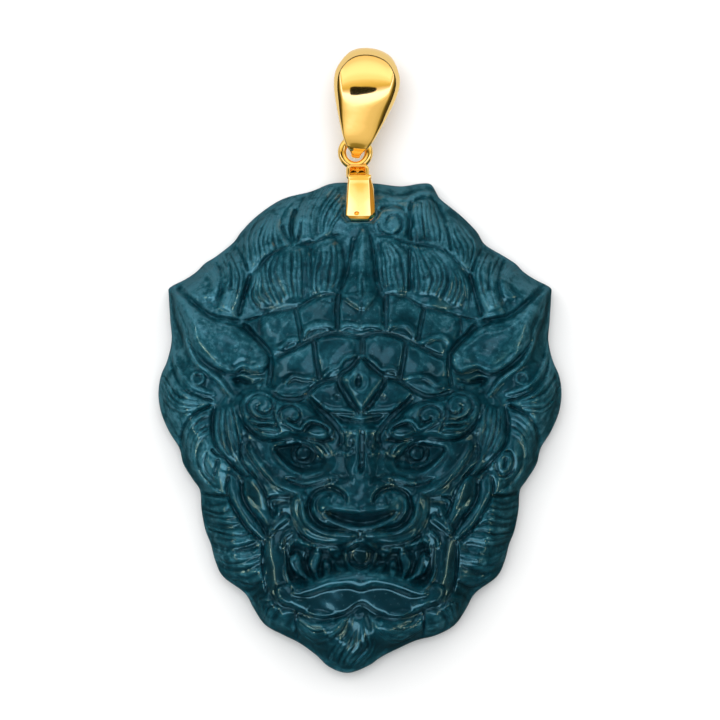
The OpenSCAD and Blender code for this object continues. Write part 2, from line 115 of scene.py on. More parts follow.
# Camera: its height, the width that it sees, and the width of its sensor.
EYE_H, VIEW_W, SENSOR_W = 600, 76.32, 36

# The edge of the mane, clockwise from the clip.
EDGE_TOP_RIGHT = [(1.6, 18.65), (4.3, 18.35), (6.4, 18.65), (7.5, 18.55), (8.1, 17.6),
                  (8.6, 16.9), (10.6, 15.3), (12.3, 13.6), (13.2, 12.2)]
EDGE_SIDE = [(15.15, 11.0), (16.4, 10.2), (17.3, 9.3), (18.5, 8.5), (20.1, 7.65), (20.2, 6.8),
             (20.05, 4.2), (19.9, 2.1), (20.35, 0), (21.05, -1.7), (21.3, -3.6), (21.0, -5.6),
             (20.15, -7.6), (19.1, -9.3), (18.65, -11.0), (17.6, -12.7), (16.9, -13.8),
             (16.75, -15.8), (16.35, -17.9), (15.75, -19.5), (15.3, -21.2), (14.45, -22.9),
             (12.2, -24.6), (11.2, -26.3), (10.0, -28.0), (8.0, -29.1)]
EDGE_BEARD = [(6.0, -29.6), (4.0, -30.5), (2.2, -31.4), (0.9, -32.3), (-1.3, -33.07),
              (-3.3, -32.4), (-4.6, -31.2), (-6.4, -29.9)]
EDGE_TOP_LEFT = [(-13.4, 12.4), (-12.5, 13.6), (-10.8, 15.3), (-8.2, 17.0), (-5.2, 17.8),
                 (-3.2, 18.6), (-1.4, 18.75)]
EDGE = (EDGE_TOP_RIGHT + EDGE_SIDE + EDGE_BEARD + [(-x, y) for x, y in EDGE_SIDE[::-1]]
        + EDGE_TOP_LEFT)

# Broad swells of the head: centre, radii, turn in degrees, rise, softness.
SWELLS_MIDDLE = [
    (0, -9.0, 13.6, 20.2, 0, 2.1, 1.0),      # whole face
    (0, 1.8, 11.4, 7.2, 0, 1.2, 1.0),        # forehead
    (0, -14.8, 7.4, 5.2, 0, 1.7, 1.0),       # muzzle
    (0, -14.4, 3.4, 2.6, 0, .8, 1.0),        # nose
    (.15, -9.4, 1.8, 4.4, 0, .8, 1.0),       # bridge of the nose
]
SWELLS_BOTH = [
    (9.0, -5.2, 4.8, 3.4, -10, 1.0, 1.0),    # brow
    (9.4, -11.8, 3.2, 4.8, -28, 1.1, 1.0),   # cheek
    (6.0, -9.9, 3.6, 2.3, 18, -1.0, 0.9),    # eye socket
    (3.1, -15.0, 1.4, 1.2, 0, .5, 1.0),      # wing of the nose
    (18.8, -4.4, 2.6, 4.2, 12, 0.8, 1.0),    # side lock
    (16.2, -10.8, 3.0, 3.8, 0, 1.0, 1.0),    # curl beside the cheek
    (13.6, -7.4, 1.9, 4.2, 6, 0.9, 1.0),     # lock beside the brow
    (13.8, -18.6, 2.8, 5.6, 10, 0.5, 1.0),   # cheek locks
    (9.6, -26.8, 2.2, 2.8, 35, 0.8, 1.0),    # locks under the jaw
    (4.2, -28.4, 3.2, 2.2, 6, 0.9, 1.0),     # beard
    (8.1, 8.9, 4.0, 3.7, -24, 1.5, 0.9),     # hair over the headdress
    (3.6, 9.7, 2.0, 3.7, -4, 1.2, 0.9),      # hair beside the crest
    (13.5, 7.6, 1.9, 4.2, 14, 1.0, 1.0),     # hair above the ear
    (16.6, 8.2, 2.9, 2.2, -30, 0.8, 1.0),    # hair over the ear's tip
    (11.2, 12.4, 2.4, 3.8, 32, 0.9, 1.0),    # outer hair
]

# Raised pads with a crisp outline: rise, width of the rounded shoulder, outline.
PADS_BOTH = [
    # leaf of the ear
    (1.6, 1.8, [(9.5, .5), (10.4, 1.6), (11.5, 2.6), (12.6, 3.4), (13.8, 3.8), (15.2, 4.1),
                (16.6, 5.0), (18.0, 6.1), (19.3, 7.4), (20.1, 7.9), (19.9, 6.4), (19.3, 5.0),
                (18.7, 3.6), (18.1, 2.2), (17.4, 1.2), (16.6, .4), (15.7, -.4), (14.7, -1.05),
                (13.6, -1.5), (12.4, -1.0), (11.4, -1.3), (10.4, -1.4), (9.8, -.9)]),
    # headdress: upper row, middle row, plate beside the diamond
    (.3, 1.8, [(2.75, 6.7), (4.5, 6.35), (6.35, 5.45), (6.2, 3.9), (5.8, 2.15), (4.5, 2.6),
               (3.3, 3.0), (2.6, 3.3), (2.6, 5.0)]),
    (.3, 1.8, [(6.9, 5.3), (8.5, 4.85), (10.2, 4.4), (10.5, 3.2), (9.9, 2.1), (9.2, 1.2),
               (8.6, .65), (7.5, 1.1), (6.4, 1.75), (6.5, 3.6)]),
    (.35, .6, [(10.7, 4.3), (12.0, 3.95), (11.5, 3.0), (10.8, 2.5)]),
    (.3, 1.8, [(4.9, 1.75), (6.0, 1.35), (7.2, .85), (8.3, .3), (9.0, -.4), (9.0, -1.9),
               (9.0, -3.1), (7.8, -3.6), (6.3, -3.3), (5.3, -2.8), (4.4, -2.1), (4.6, -.4)]),
    (.3, 1.6, [(.7, 2.2), (2.0, 2.65), (3.3, 2.45), (4.5, 2.0), (4.45, .2), (4.05, -1.9),
               (3.2, -1.8), (2.4, -1.5), (1.4, -.5), (.6, .5)]),
    (.5, 1.0, [(2.6, -2.2), (4.0, -2.5), (5.3, -3.3), (5.1, -4.0), (4.2, -5.0), (3.2, -5.4),
               (1.8, -5.5), (.7, -5.5), (1.3, -4.6), (2.1, -3.2)]),
    # brow, and the oval pad at its inner end
    (1.0, .8, [(3.0, -7.9), (2.9, -7.2), (3.8, -6.4), (4.9, -5.2), (6.0, -4.5), (7.6, -4.3),
               (8.8, -4.1), (9.6, -3.45), (10.8, -3.25), (11.9, -3.6), (12.5, -4.6), (12.3, -5.9),
               (11.6, -7.1), (10.2, -8.0), (8.6, -8.2), (7.2, -8.0), (5.8, -8.0), (4.4, -8.3)]),
    (.45, .35, [(3.35, -7.9), (3.5, -7.3), (4.2, -7.0), (5.0, -7.0), (5.6, -7.4), (5.3, -8.0),
                (4.4, -8.35), (3.7, -8.35)]),
    # leaf under the eye
    (.35, .3, [(1.8, -12.3), (2.7, -11.9), (3.7, -11.95), (4.8, -12.2), (6.0, -12.45),
               (7.8, -12.1), (7.1, -12.7), (5.8, -13.05), (4.6, -12.85), (3.4, -12.35)]),
    # straps of flesh between the cheek and the mane
    (.7, .9, [(11.9, -12.2), (12.2, -13.2), (12.1, -14.4), (11.6, -15.4), (10.9, -16.2),
              (10.0, -17.2), (9.4, -18.2), (9.1, -17.0), (9.5, -15.6), (9.8, -14.6),
              (10.0, -13.4), (10.7, -12.3)]),
    (.5, .7, [(13.6, -12.0), (13.9, -13.4), (13.4, -14.8), (12.7, -16.2), (11.6, -17.8),
              (10.4, -18.9), (9.9, -18.4), (10.5, -17.2), (11.4, -16.2), (12.2, -15.0),
              (12.5, -13.8), (12.7, -12.6)]),
    # upper lip beside the nose
    (.7, .55, [(6.2, -14.1), (7.0, -14.5), (7.2, -15.6), (6.9, -16.9), (6.2, -18.1), (5.0, -18.9),
               (3.5, -19.25), (1.7, -19.15), (.4, -18.7), (.4, -18.0), (3.2, -17.95),
               (4.6, -17.4), (5.6, -16.5), (5.8, -15.2)]),
    # smooth lock under the jaw
    (.5, .8, [(6.9, -26.3), (8.1, -26.3), (8.8, -27.2), (9.0, -28.3), (8.3, -29.0), (7.2, -29.1),
              (6.8, -28.0)]),
]
PADS_MIDDLE = [
    # middle plate at the crest's foot, and the diamond
    (.4, 1.4, [(-1.9, 6.7), (-.9, 7.0), (.3, 7.1), (1.6, 6.9), (2.3, 6.2), (2.35, 4.8),
               (2.2, 3.5), (1.2, 3.2), (.1, 3.0), (-1.1, 3.2), (-2.0, 3.4), (-2.2, 4.8)]),
    (.7, .8, [(.1, .1), (1.2, -1.0), (2.4, -2.0), (1.5, -3.6), (.1, -5.3), (-1.1, -3.5),
              (-1.9, -1.9), (-.9, -.9)]),
    # chin, and the lower lip over it
    (.55, .25, [(-8.8, -23.8), (-6.6, -23.2), (-4.9, -22.9), (-3.0, -22.3), (0, -22.0),
                (3.0, -22.3), (4.9, -22.9), (6.6, -23.2), (8.8, -23.8), (8.4, -25.2),
                (6.8, -25.9), (5.4, -26.6), (3.8, -26.9), (1.8, -26.5), (.1, -25.5),
                (-1.6, -26.5), (-3.8, -26.9), (-5.6, -26.6), (-7.0, -25.9), (-8.4, -25.2)]),
    (.8, 1.1, [(-6.3, -23.7), (-4.9, -23.1), (-3.1, -22.4), (0, -22.05), (2.95, -22.4),
               (4.8, -23.1), (6.3, -23.7), (7.2, -24.3), (6.7, -24.7), (5.5, -24.8),
               (4.3, -24.35), (2.8, -23.85), (1.4, -23.8), (.15, -24.1), (-1.1, -23.85),
               (-2.5, -23.85), (-4.0, -24.25), (-5.5, -24.75), (-6.8, -24.65), (-7.2, -24.2)]),
    # crest
    (.9, 1.3, [(.3, 13.8), (.9, 12.9), (1.2, 10.6), (1.5, 8.4), (1.75, 7.3), (1.5, 6.4),
               (.9, 5.5), (.2, 5.1), (-.6, 5.5), (-1.6, 6.3), (-2.1, 7.1), (-1.5, 8.6),
               (-1.0, 10.6), (-.4, 12.6)]),
]
# Sunken dishes with a crisp outline: depth, width of the slope, outline.
DISHES_BOTH = [
    # opening of the eye
    (.6, .45, [(3.4, -10.75), (4.0, -9.8), (4.9, -8.9), (6.0, -8.5), (7.5, -8.7), (9.0, -8.95),
               (8.4, -9.7), (7.6, -10.6), (6.5, -11.1), (5.2, -11.2), (4.2, -11.05)]),
    # hollow behind the mouth's corner, hollow under the ear
    (.8, .6, [(6.9, -14.7), (7.9, -14.4), (9.1, -14.5), (9.6, -15.0), (9.1, -15.9), (8.4, -15.4),
              (7.3, -15.2)]),
    (1.1, .8, [(10.0, -1.9), (11.4, -1.9), (12.6, -1.5), (13.6, -1.9), (13.2, -2.8), (12.2, -3.1),
               (10.6, -2.8)]),
]
DISHES_MIDDLE = [
    # hollow between the two steps of the nose, and the mouth
    (.6, .6, [(-2.9, -5.5), (-1.5, -5.7), (.1, -6.0), (1.6, -5.7), (2.9, -5.5), (2.5, -6.5),
              (1.7, -7.0), (0, -7.0), (-1.7, -7.0), (-2.4, -6.5)]),
    (1.7, 1.0, [(-7.6, -19.2), (-5.8, -18.9), (-4.0, -19.35), (-1.5, -19.2), (0, -18.8),
                (1.5, -19.2), (4.0, -19.35), (5.8, -18.9), (7.5, -18.9), (7.8, -20.2),
                (7.8, -22.0), (7.2, -23.6), (5.9, -23.9), (4.6, -23.2), (3.2, -22.5),
                (1.5, -22.2), (-1.5, -22.2), (-3.0, -22.5), (-4.6, -23.1), (-5.9, -23.8),
                (-7.3, -23.3), (-7.8, -21.6)]),
    # shade under the nose
    (1.0, .3, [(-3.9, -15.6), (-2.0, -15.85), (0, -16.0), (2.0, -15.85), (3.9, -15.6),
               (3.1, -16.5), (1.8, -17.1), (.2, -17.35), (-1.4, -17.1), (-2.8, -16.6)]),
    # slits of the diamond and of the crest's foot
    (.6, .25, [(-.15, -1.3), (.2, -1.8), (.3, -2.4), (.1, -2.85), (-.35, -2.9), (-.6, -2.4),
               (-.5, -1.8)]),
    (.6, .3, [(.2, 6.4), (.42, 5.7), (.36, 4.9), (.1, 4.9), (.02, 5.7)]),
]
# Pads raised from the floor of a dish or laid over others: rise, shoulder, outline.
TEETH_BOTH = [
    # lower fang, upper fang, and tongues of flame beside the pearl
    (1.6, .8, [(7.0, -20.2), (7.4, -20.9), (7.2, -21.9), (6.7, -22.7), (5.7, -23.1), (4.9, -23.0),
               (5.5, -22.4), (5.9, -21.6), (6.2, -20.7), (6.6, -20.1)]),
    (1.1, .5, [(4.9, -19.3), (5.6, -18.95), (6.5, -18.6), (6.4, -19.3), (5.9, -19.9),
               (5.5, -19.8)]),
    (.9, .35, [(4.0, -20.2), (4.6, -19.7), (5.2, -20.6), (5.5, -21.5), (5.0, -22.5), (4.4, -22.8),
               (4.3, -21.6)]),
    (.8, .3, [(3.0, -21.3), (3.7, -20.9), (4.0, -21.8), (3.7, -22.5), (3.1, -22.2)]),
    (.8, .3, [(1.8, -20.1), (2.6, -19.7), (3.4, -19.9), (3.0, -20.5), (2.3, -20.9)]),
    (.6, .3, [(1.5, -21.9), (2.0, -21.5), (2.7, -21.3), (2.6, -21.8), (2.0, -22.1)]),
]

# Rings and balls: centre, radius, half width (0 for a ball), rise. Negative rise is cut.
ROUNDS_BOTH = [
    (5.95, -9.75, 1.25, 0, .5), (5.95, -9.75, .66, 0, .12), (17.0, -1.9, .62, .2, .4),
    (4.0, -15.55, .35, 0, .2), (.85, -8.6, .3, 0, -.3), (2.05, -8.85, .3, 0, -.3),
    (2.3, -3.9, .35, 0, -.3),
]
ROUNDS_MIDDLE = [
    (.05, -20.45, 1.9, 0, .7), (.05, -20.45, 1.6, .26, .2),
    (-.15, -2.3, 1.0, .2, .15), (.05, -15.4, .4, 0, -.2),
    (.1, -11.3, .4, 0, -.4),
    # round scroll at the top right
    (3.4, 14.4, 1.9, 0, .5), (3.5, 14.2, .6, 0, .2),
]

# Ridges: half width, rise, path.
RIDGES_BOTH = [
    # jaw
    (1.5, .6, [(8.7, -17.8), (8.9, -19.4), (8.9, -21.2), (8.7, -22.8), (8.0, -24.3), (6.8, -25.5),
               (5.4, -26.1)]),
    # folds of the ear
    (.42, .8, [(19.7, 6.2), (19.2, 4.6), (18.6, 3.2), (18.2, 1.9), (17.7, .7), (16.9, -.5),
               (15.7, -1.4), (14.7, -2.2), (13.9, -3.2), (13.2, -4.0)]),
    (.4, .7, [(20.0, 2.2), (19.8, .6), (19.2, -.9), (18.4, -2.0), (17.4, -2.8), (16.2, -3.3),
              (15.1, -3.6)]),
    (.4, .5, [(10.2, -2.8), (11.0, -2.45), (12.0, -2.6), (12.9, -2.3)]),
    # lids of the eye
    (.3, .4, [(3.2, -9.9), (4.0, -8.9), (5.2, -8.2), (6.2, -8.05), (7.4, -8.2), (8.8, -8.6)]),
    (.25, .4, [(3.7, -11.5), (5.2, -11.95), (6.8, -11.7), (8.1, -10.7), (9.0, -9.5)]),
    # lip ridge round the nose
    (.65, .55, [(9.6, -12.5), (8.6, -13.2), (7.5, -13.65), (6.3, -13.95), (5.8, -14.6),
                (5.9, -15.7), (5.3, -16.9), (4.3, -17.6), (2.8, -18.0), (.3, -18.2)]),
    # band round the wing of the nose
    (.22, .3, [(2.3, -14.2), (3.0, -13.75), (4.0, -13.9), (4.7, -14.7), (4.7, -15.7),
               (4.1, -16.6), (3.0, -17.1)]),
    # facets beside the bridge
    (.24, .4, [(.8, -9.3), (1.4, -9.75), (2.2, -9.5), (2.7, -9.9)]),
    # knots of flesh at the corner of the mouth
    (.6, .7, [(7.4, -16.3), (8.2, -16.8), (9.0, -17.5), (9.7, -18.3)]),
    (.4, .5, [(8.3, -15.6), (8.7, -16.4), (9.3, -17.0)]),
    (.35, .5, [(7.0, -17.9), (7.6, -18.2), (8.1, -18.8), (8.2, -19.6)]),
    (.3, .5, [(6.9, -18.9), (7.3, -19.6), (7.2, -20.2)]),
    # border of the mouth
    (.3, .6, [(7.9, -21.6), (7.7, -22.6), (7.2, -23.5), (6.5, -24.1)]),
]
RIDGES_MIDDLE = [
    # edge over the scrolls at the top
    (.35, .35, [(1.8, 17.4), (3.4, 17.0), (5.0, 17.0), (6.0, 17.5), (7.3, 17.6), (8.2, 16.8)]),
    # band under the nose
    (.28, .4, [(-4.1, -16.0), (-2.9, -16.85), (-1.4, -17.45), (.1, -17.6), (1.6, -17.45),
               (3.1, -16.8), (4.1, -16.0)]),
    # spine of the crest
    (.6, .3, [(.3, 13.6), (.2, 11.0), (.1, 8.5), (.1, 6.4)]),
]
# Lips: reach, rise, path. The left of the path stands up at it and slopes away from it, and
# the right of it is hollowed.
LIPS_BOTH = [
    # upper and lower step of the nose, brow scrolls, cheek rim
    (.8, .35, [(.1, -5.9), (.7, -5.6), (1.8, -5.5), (3.2, -5.4), (4.4, -4.9)]),
    (.8, .3, [(2.1, -7.1), (1.0, -7.1), (0, -7.15)]),
    (.7, .7, [(3.0, -7.8), (3.4, -7.1), (4.1, -6.7), (5.0, -6.5), (5.6, -6.85), (6.0, -7.4),
              (6.7, -7.35), (7.5, -6.9), (8.2, -6.5)]),
    (.6, .5, [(8.7, -6.9), (9.6, -6.7), (10.6, -6.7), (11.6, -6.4)]),
    (.6, .5, [(8.4, -7.6), (9.4, -7.4), (10.4, -7.4), (11.2, -7.1)]),
    (1.2, .5, [(6.4, -14.0), (7.5, -13.75), (8.6, -13.2), (9.6, -12.5), (10.6, -11.4),
               (11.6, -10.0), (12.1, -8.6)]),
    # edge of the upper lip
    (.8, .3, [(.4, -18.7), (1.7, -19.15), (3.5, -19.25), (5.1, -18.9), (6.4, -18.0)]),
]
LIPS_MIDDLE = [
    # lower edges of the headdress plates
    (.8, .4, [(-8.9, .9), (-8.1, 1.1), (-7.6, 1.55), (-7.0, 1.9), (-6.2, 1.8)]),
    (.9, .45, [(-5.9, 2.0), (-5.3, 3.0), (-4.4, 3.35), (-3.4, 3.35), (-2.5, 3.05)]),
    (.7, .4, [(-2.1, 3.1), (-1.2, 3.5), (-.1, 3.2)]),
    (.7, .4, [(.05, 3.2), (1.1, 3.4), (2.5, 3.15)]),
    (.9, .45, [(2.9, 3.1), (3.8, 3.35), (4.8, 3.3), (5.7, 2.2)]),
    (.8, .4, [(6.2, 1.5), (7.1, 1.75), (7.9, 2.1), (8.8, 2.0), (9.2, 1.3)]),
    (.9, .45, [(-7.8, -2.7), (-6.9, -2.0), (-5.9, -2.2), (-4.7, -2.2)]),
    (.7, .4, [(-3.8, -2.1), (-2.9, -1.2), (-2.0, -.8), (-1.4, 0), (-.1, .4)]),
    (.7, .4, [(.3, .2), (1.3, -.4), (2.2, -1.2), (3.4, -1.1), (4.1, -1.8)]),
    (.9, .45, [(4.7, -2.2), (5.8, -2.1), (6.9, -2.1), (8.0, -2.9), (9.0, -2.8)]),
    # wavy lower edges of the ears
    (.9, .45, [(-15.6, -.6), (-14.3, -1.1), (-13.1, -1.5), (-12.2, -.95), (-11.4, -1.2),
               (-10.2, -.9), (-9.5, -.3)]),
    (.9, .45, [(9.7, -.9), (10.6, -1.3), (11.4, -1.0), (12.4, -.9), (13.2, -1.3), (14.4, -1.25),
               (15.8, -.4), (17.0, .9)]),
    # nose
    (1.1, .5, [(-3.9, -15.6), (-2.0, -15.85), (0, -16.0), (2.0, -15.85), (3.8, -15.65)]),
]
# Straps, which are double lines: half width, depth, path.
STRAPS_BOTH = [
    # ring of the eye
    (.36, .4, [(5.95, -8.72), (6.68, -9.02), (6.98, -9.75), (6.68, -10.48), (5.95, -10.78),
               (5.22, -10.48), (4.92, -9.75), (5.22, -9.02), (5.95, -8.72), (6.3, -8.8)]),
    # joints of the plates, side of the bridge, line before the ear
    (.3, .35, [(4.85, 2.0), (4.6, .1), (4.1, -2.1)]),
    (.3, .35, [(6.75, 5.4), (6.4, 3.8), (6.0, 1.9)]),
    (.36, .4, [(5.6, -3.85), (4.4, -4.9), (3.25, -6.0), (2.4, -6.95), (1.9, -7.9), (1.9, -8.9)]),
    (.33, .5, [(12.3, 3.9), (11.2, 2.7), (10.1, 1.5), (9.4, .4), (9.3, -1.0), (9.6, -3.0)]),
]
STRAPS_MIDDLE = [
    # ring of the pearl
    (.36, .35, [(.05, -19.35), (.83, -19.67), (1.15, -20.45), (.83, -21.23), (.05, -21.55),
                (-.73, -21.23), (-1.05, -20.45), (-.73, -19.67), (.05, -19.35), (.5, -19.44)]),
    # line between the rows of plates, joints of the plates, lines under them
    (.3, .4, [(-9.3, .2), (-8.2, .6), (-7.0, 1.1), (-6.0, 1.7), (-5.0, 2.2), (-4.0, 2.6),
              (-3.0, 2.8), (-2.0, 2.75), (0, 2.45), (2.0, 2.85), (4.0, 2.4), (6.0, 1.5),
              (8.0, .5), (9.2, .2)]),
    (.3, .3, [(.2, 2.5), (.3, .5)]),
    (.3, .3, [(-2.2, 7.0), (-2.4, 5.0), (-2.3, 3.1)]),
    (.3, .3, [(2.75, 6.9), (2.75, 5.0), (2.75, 3.2)]),
    (.3, .4, [(-2.0, -1.9), (-3.0, -2.1), (-4.2, -2.4), (-5.0, -3.1), (-5.7, -3.8), (-6.5, -4.1),
              (-7.5, -4.15), (-8.3, -4.0), (-9.2, -3.4)]),
    (.3, .4, [(2.2, -1.7), (3.8, -2.0), (5.5, -3.1), (6.2, -3.5), (7.0, -3.8), (8.0, -3.8),
              (9.0, -3.5), (9.8, -3.2)]),
    # outline of the diamond, and line down the bridge of the nose
    (.3, .4, [(.1, .4), (1.3, -.8), (2.6, -2.0), (1.7, -3.8), (.1, -5.8)]),
    (.3, .4, [(.1, .4), (-.9, -.8), (-2.2, -1.9), (-1.4, -3.8), (.1, -5.8)]),
    (.46, .6, [(.2, -7.2), (.2, -9.0), (.15, -11.3)]),
]
# Cut lines: half width, depth, path.
CUTS_BOTH = [
    # top arc of the headdress, and the line round the ear
    (.2, .45, [(2.3, 6.95), (4.5, 6.6), (6.4, 5.6), (8.5, 5.1), (10.3, 4.6), (12.2, 4.1)]),
    (.2, .4, [(10.4, 4.5), (10.6, 3.4), (10.3, 2.4)]),
    (.4, .5, [(12.6, 4.0), (14.0, 4.3), (15.6, 4.6), (17.2, 5.8), (18.6, 7.2), (19.6, 8.1)]),
    # brow: line between its scrolls, outer and inner scroll, lines under it
    (.17, .5, [(8.8, -4.2), (8.95, -5.6), (8.7, -6.8), (8.3, -7.6)]),
    (.17, .5, [(9.2, -6.2), (10.2, -6.3), (11.3, -5.8), (11.8, -4.8), (11.3, -3.9), (10.3, -3.6),
               (9.4, -4.0), (9.1, -4.8), (9.6, -5.5), (10.4, -5.5), (10.8, -4.9), (10.3, -4.5)]),
    (.17, .5, [(8.3, -6.3), (8.5, -5.5), (7.9, -4.9), (7.1, -4.8), (6.4, -5.2), (6.2, -5.9),
               (6.7, -6.5), (7.4, -6.3), (7.3, -5.8)]),
    (.22, .6, [(2.7, -8.3), (4.2, -8.5), (5.6, -8.15)]),
    (.2, .5, [(6.6, -8.1), (8.2, -8.35), (9.8, -8.4), (11.0, -7.9), (12.0, -6.9), (12.6, -5.6)]),
    # wrinkles under the eye
    (.4, .6, [(3.7, -11.0), (5.1, -11.35), (6.7, -11.1), (7.9, -10.3), (8.9, -9.1)]),
    (.16, .6, [(1.6, -12.4), (2.6, -12.0), (3.6, -12.05), (4.8, -12.3), (6.0, -12.55),
               (7.9, -12.2)]),
    (.16, .6, [(3.0, -12.5), (4.5, -12.95), (5.7, -13.2), (7.0, -12.85), (7.8, -12.3)]),
    # channel round the wing of the nose
    (.4, .75, [(1.45, -14.9), (1.6, -14.2), (2.4, -13.55), (3.6, -13.35), (4.8, -13.95),
               (5.35, -15.1), (5.15, -16.3), (4.4, -17.2), (3.1, -17.65), (1.4, -17.75)]),
    # upper lip, hook of the cheek, face side, straps of flesh
    (.2, .6, [(.3, -18.75), (1.7, -19.3), (3.6, -19.4), (5.3, -19.0), (6.6, -18.0)]),
    (.22, .8, [(7.0, -14.5), (8.0, -14.35), (9.0, -14.35), (9.6, -14.7), (9.5, -15.5),
               (9.1, -16.1)]),
    (.22, .6, [(12.3, -8.3), (12.5, -9.6), (12.2, -10.9), (11.3, -11.9), (10.6, -12.7),
               (10.1, -13.6), (9.7, -14.6)]),
    (.22, .7, [(13.6, -12.0), (14.0, -13.3), (13.6, -14.9), (12.7, -16.5), (11.5, -18.0),
               (10.2, -19.0)]),
    (.2, .5, [(12.3, -12.4), (12.4, -14.0), (11.8, -15.4), (10.8, -16.7), (9.8, -18.2)]),
    # side and underside of the jaw, border of the mouth, fangs
    (.25, .5, [(10.1, -18.9), (10.2, -20.8), (10.1, -22.6), (9.7, -24.4)]),
    (.2, .4, [(9.7, -24.3), (8.6, -25.75), (7.0, -26.2), (5.6, -26.9), (4.0, -27.25),
              (2.2, -27.0), (1.0, -26.3), (0, -25.6)]),
    (.18, .5, [(7.7, -19.3), (7.6, -20.8), (7.4, -22.3), (6.7, -23.3), (5.4, -23.6)]),
    (.14, .3, [(6.5, -20.6), (6.8, -21.4), (6.4, -22.3)]),
    (.16, .4, [(5.3, -19.8), (5.7, -20.9), (5.3, -22.2)]),
    # outer mane: long boundaries between locks
    (.3, .7, [(18.9, -9.8), (18.8, -8.2), (18.3, -6.8), (17.2, -5.6), (15.4, -4.7)]),
    (.3, .7, [(15.2, -4.6), (15.5, -6.4), (15.3, -8.6), (14.5, -9.8), (13.2, -11.2),
              (11.8, -12.3)]),
    (.32, .8, [(16.9, -14.0), (15.4, -14.2), (13.7, -14.3)]),
    (.28, .7, [(15.3, -4.3), (16.6, -4.0), (18.2, -3.2), (19.4, -1.8), (20.1, .6)]),
    (.25, .6, [(12.6, -24.4), (11.4, -24.1), (10.2, -23.4)]),
    (.16, .7, [(6.6, -29.4), (6.65, -28.0), (6.7, -26.4)]),
    (.2, .45, [(1.4, 13.2), (3.2, 12.9), (4.8, 12.3), (6.4, 12.0), (8.0, 11.8), (9.4, 11.0),
               (10.6, 9.8), (11.5, 8.8)]),
    (.25, .6, [(5.2, 11.9), (5.15, 9.6), (5.1, 7.2)]),
    (.34, 1.0, [(11.5, 9.1), (11.9, 7.6), (12.4, 6.0), (12.8, 4.5)]),
    (.26, .6, [(13.0, 11.9), (12.3, 10.8), (11.7, 9.2)]),
    (.25, .6, [(13.75, 10.4), (13.5, 9.0), (13.5, 7.2)]),
    (.25, .6, [(15.3, 10.6), (14.6, 8.9), (14.7, 6.9), (15.2, 5.4)]),
]
CUTS_MIDDLE = [
    # slit in the crest
    (.16, .4, [(.25, 8.6), (.3, 7.6), (.25, 6.6)]),
    # valleys beside the crest
    (.2, .5, [(1.0, 13.3), (1.4, 11.4), (1.65, 9.4), (2.3, 7.0)]),
    (.2, .5, [(-.7, 12.9), (-1.1, 10.2), (-1.4, 8.6), (-2.1, 7.1)]),
    (.2, .5, [(1.9, 12.6), (2.2, 10.6), (2.3, 8.8), (2.7, 7.3)]),
    # right: round scroll and corner scroll at the top
    (.3, .7, [(5.5, 16.8), (5.2, 15.6), (5.3, 14.2), (5.2, 13.0), (5.6, 12.5)]),
    (.26, .5, [(4.9, 12.9), (5.1, 14.5), (4.6, 15.7), (3.5, 16.2), (2.3, 15.9), (1.7, 14.8)]),
    (.2, .55, [(1.8, 14.6), (2.2, 13.5), (3.3, 13.1), (4.2, 13.6), (4.4, 14.5), (3.8, 15.2),
               (3.0, 15.0), (2.7, 14.3)]),
    (.22, .5, [(5.5, 16.4), (6.2, 17.0), (7.4, 17.1), (8.1, 16.4), (8.6, 15.4)]),
    (.25, .6, [(9.1, 14.0), (9.35, 12.8), (9.5, 11.4)]),
    (.16, .4, [(7.6, 9.9), (7.2, 8.9), (6.5, 8.4)]),
    # left: fan of hair over the headdress
    (.4, 1.0, [(-6.9, 12.2), (-7.2, 13.4), (-7.1, 14.8), (-6.7, 16.0)]),
    (.25, .7, [(-6.6, 12.3), (-6.3, 13.4), (-6.2, 14.6)]),
    (.22, .5, [(-2.0, 13.1), (-3.4, 13.0), (-4.6, 12.4), (-5.4, 12.0)]),
    (.3, .7, [(-7.0, 12.1), (-7.9, 13.3), (-8.2, 14.2)]),
    # right: ring of the curl beside the cheek; left: its folded leaves
    (.2, .6, [(15.0, -9.6), (15.7, -9.6), (16.2, -10.6), (16.0, -11.6), (15.3, -12.2),
              (14.6, -12.0), (14.2, -11.0), (14.4, -10.1), (15.0, -9.6)]),
    (.3, .6, [(15.3, -10.2), (15.1, -11.4)]),
    (.3, .7, [(-15.6, -9.3), (-15.0, -9.9), (-14.1, -10.2)]),
    (.25, .6, [(-14.8, -10.3), (-15.3, -12.2)]),
    (.2, .5, [(-16.0, -9.6), (-16.4, -10.8), (-16.0, -12.0), (-15.0, -12.9)]),
]

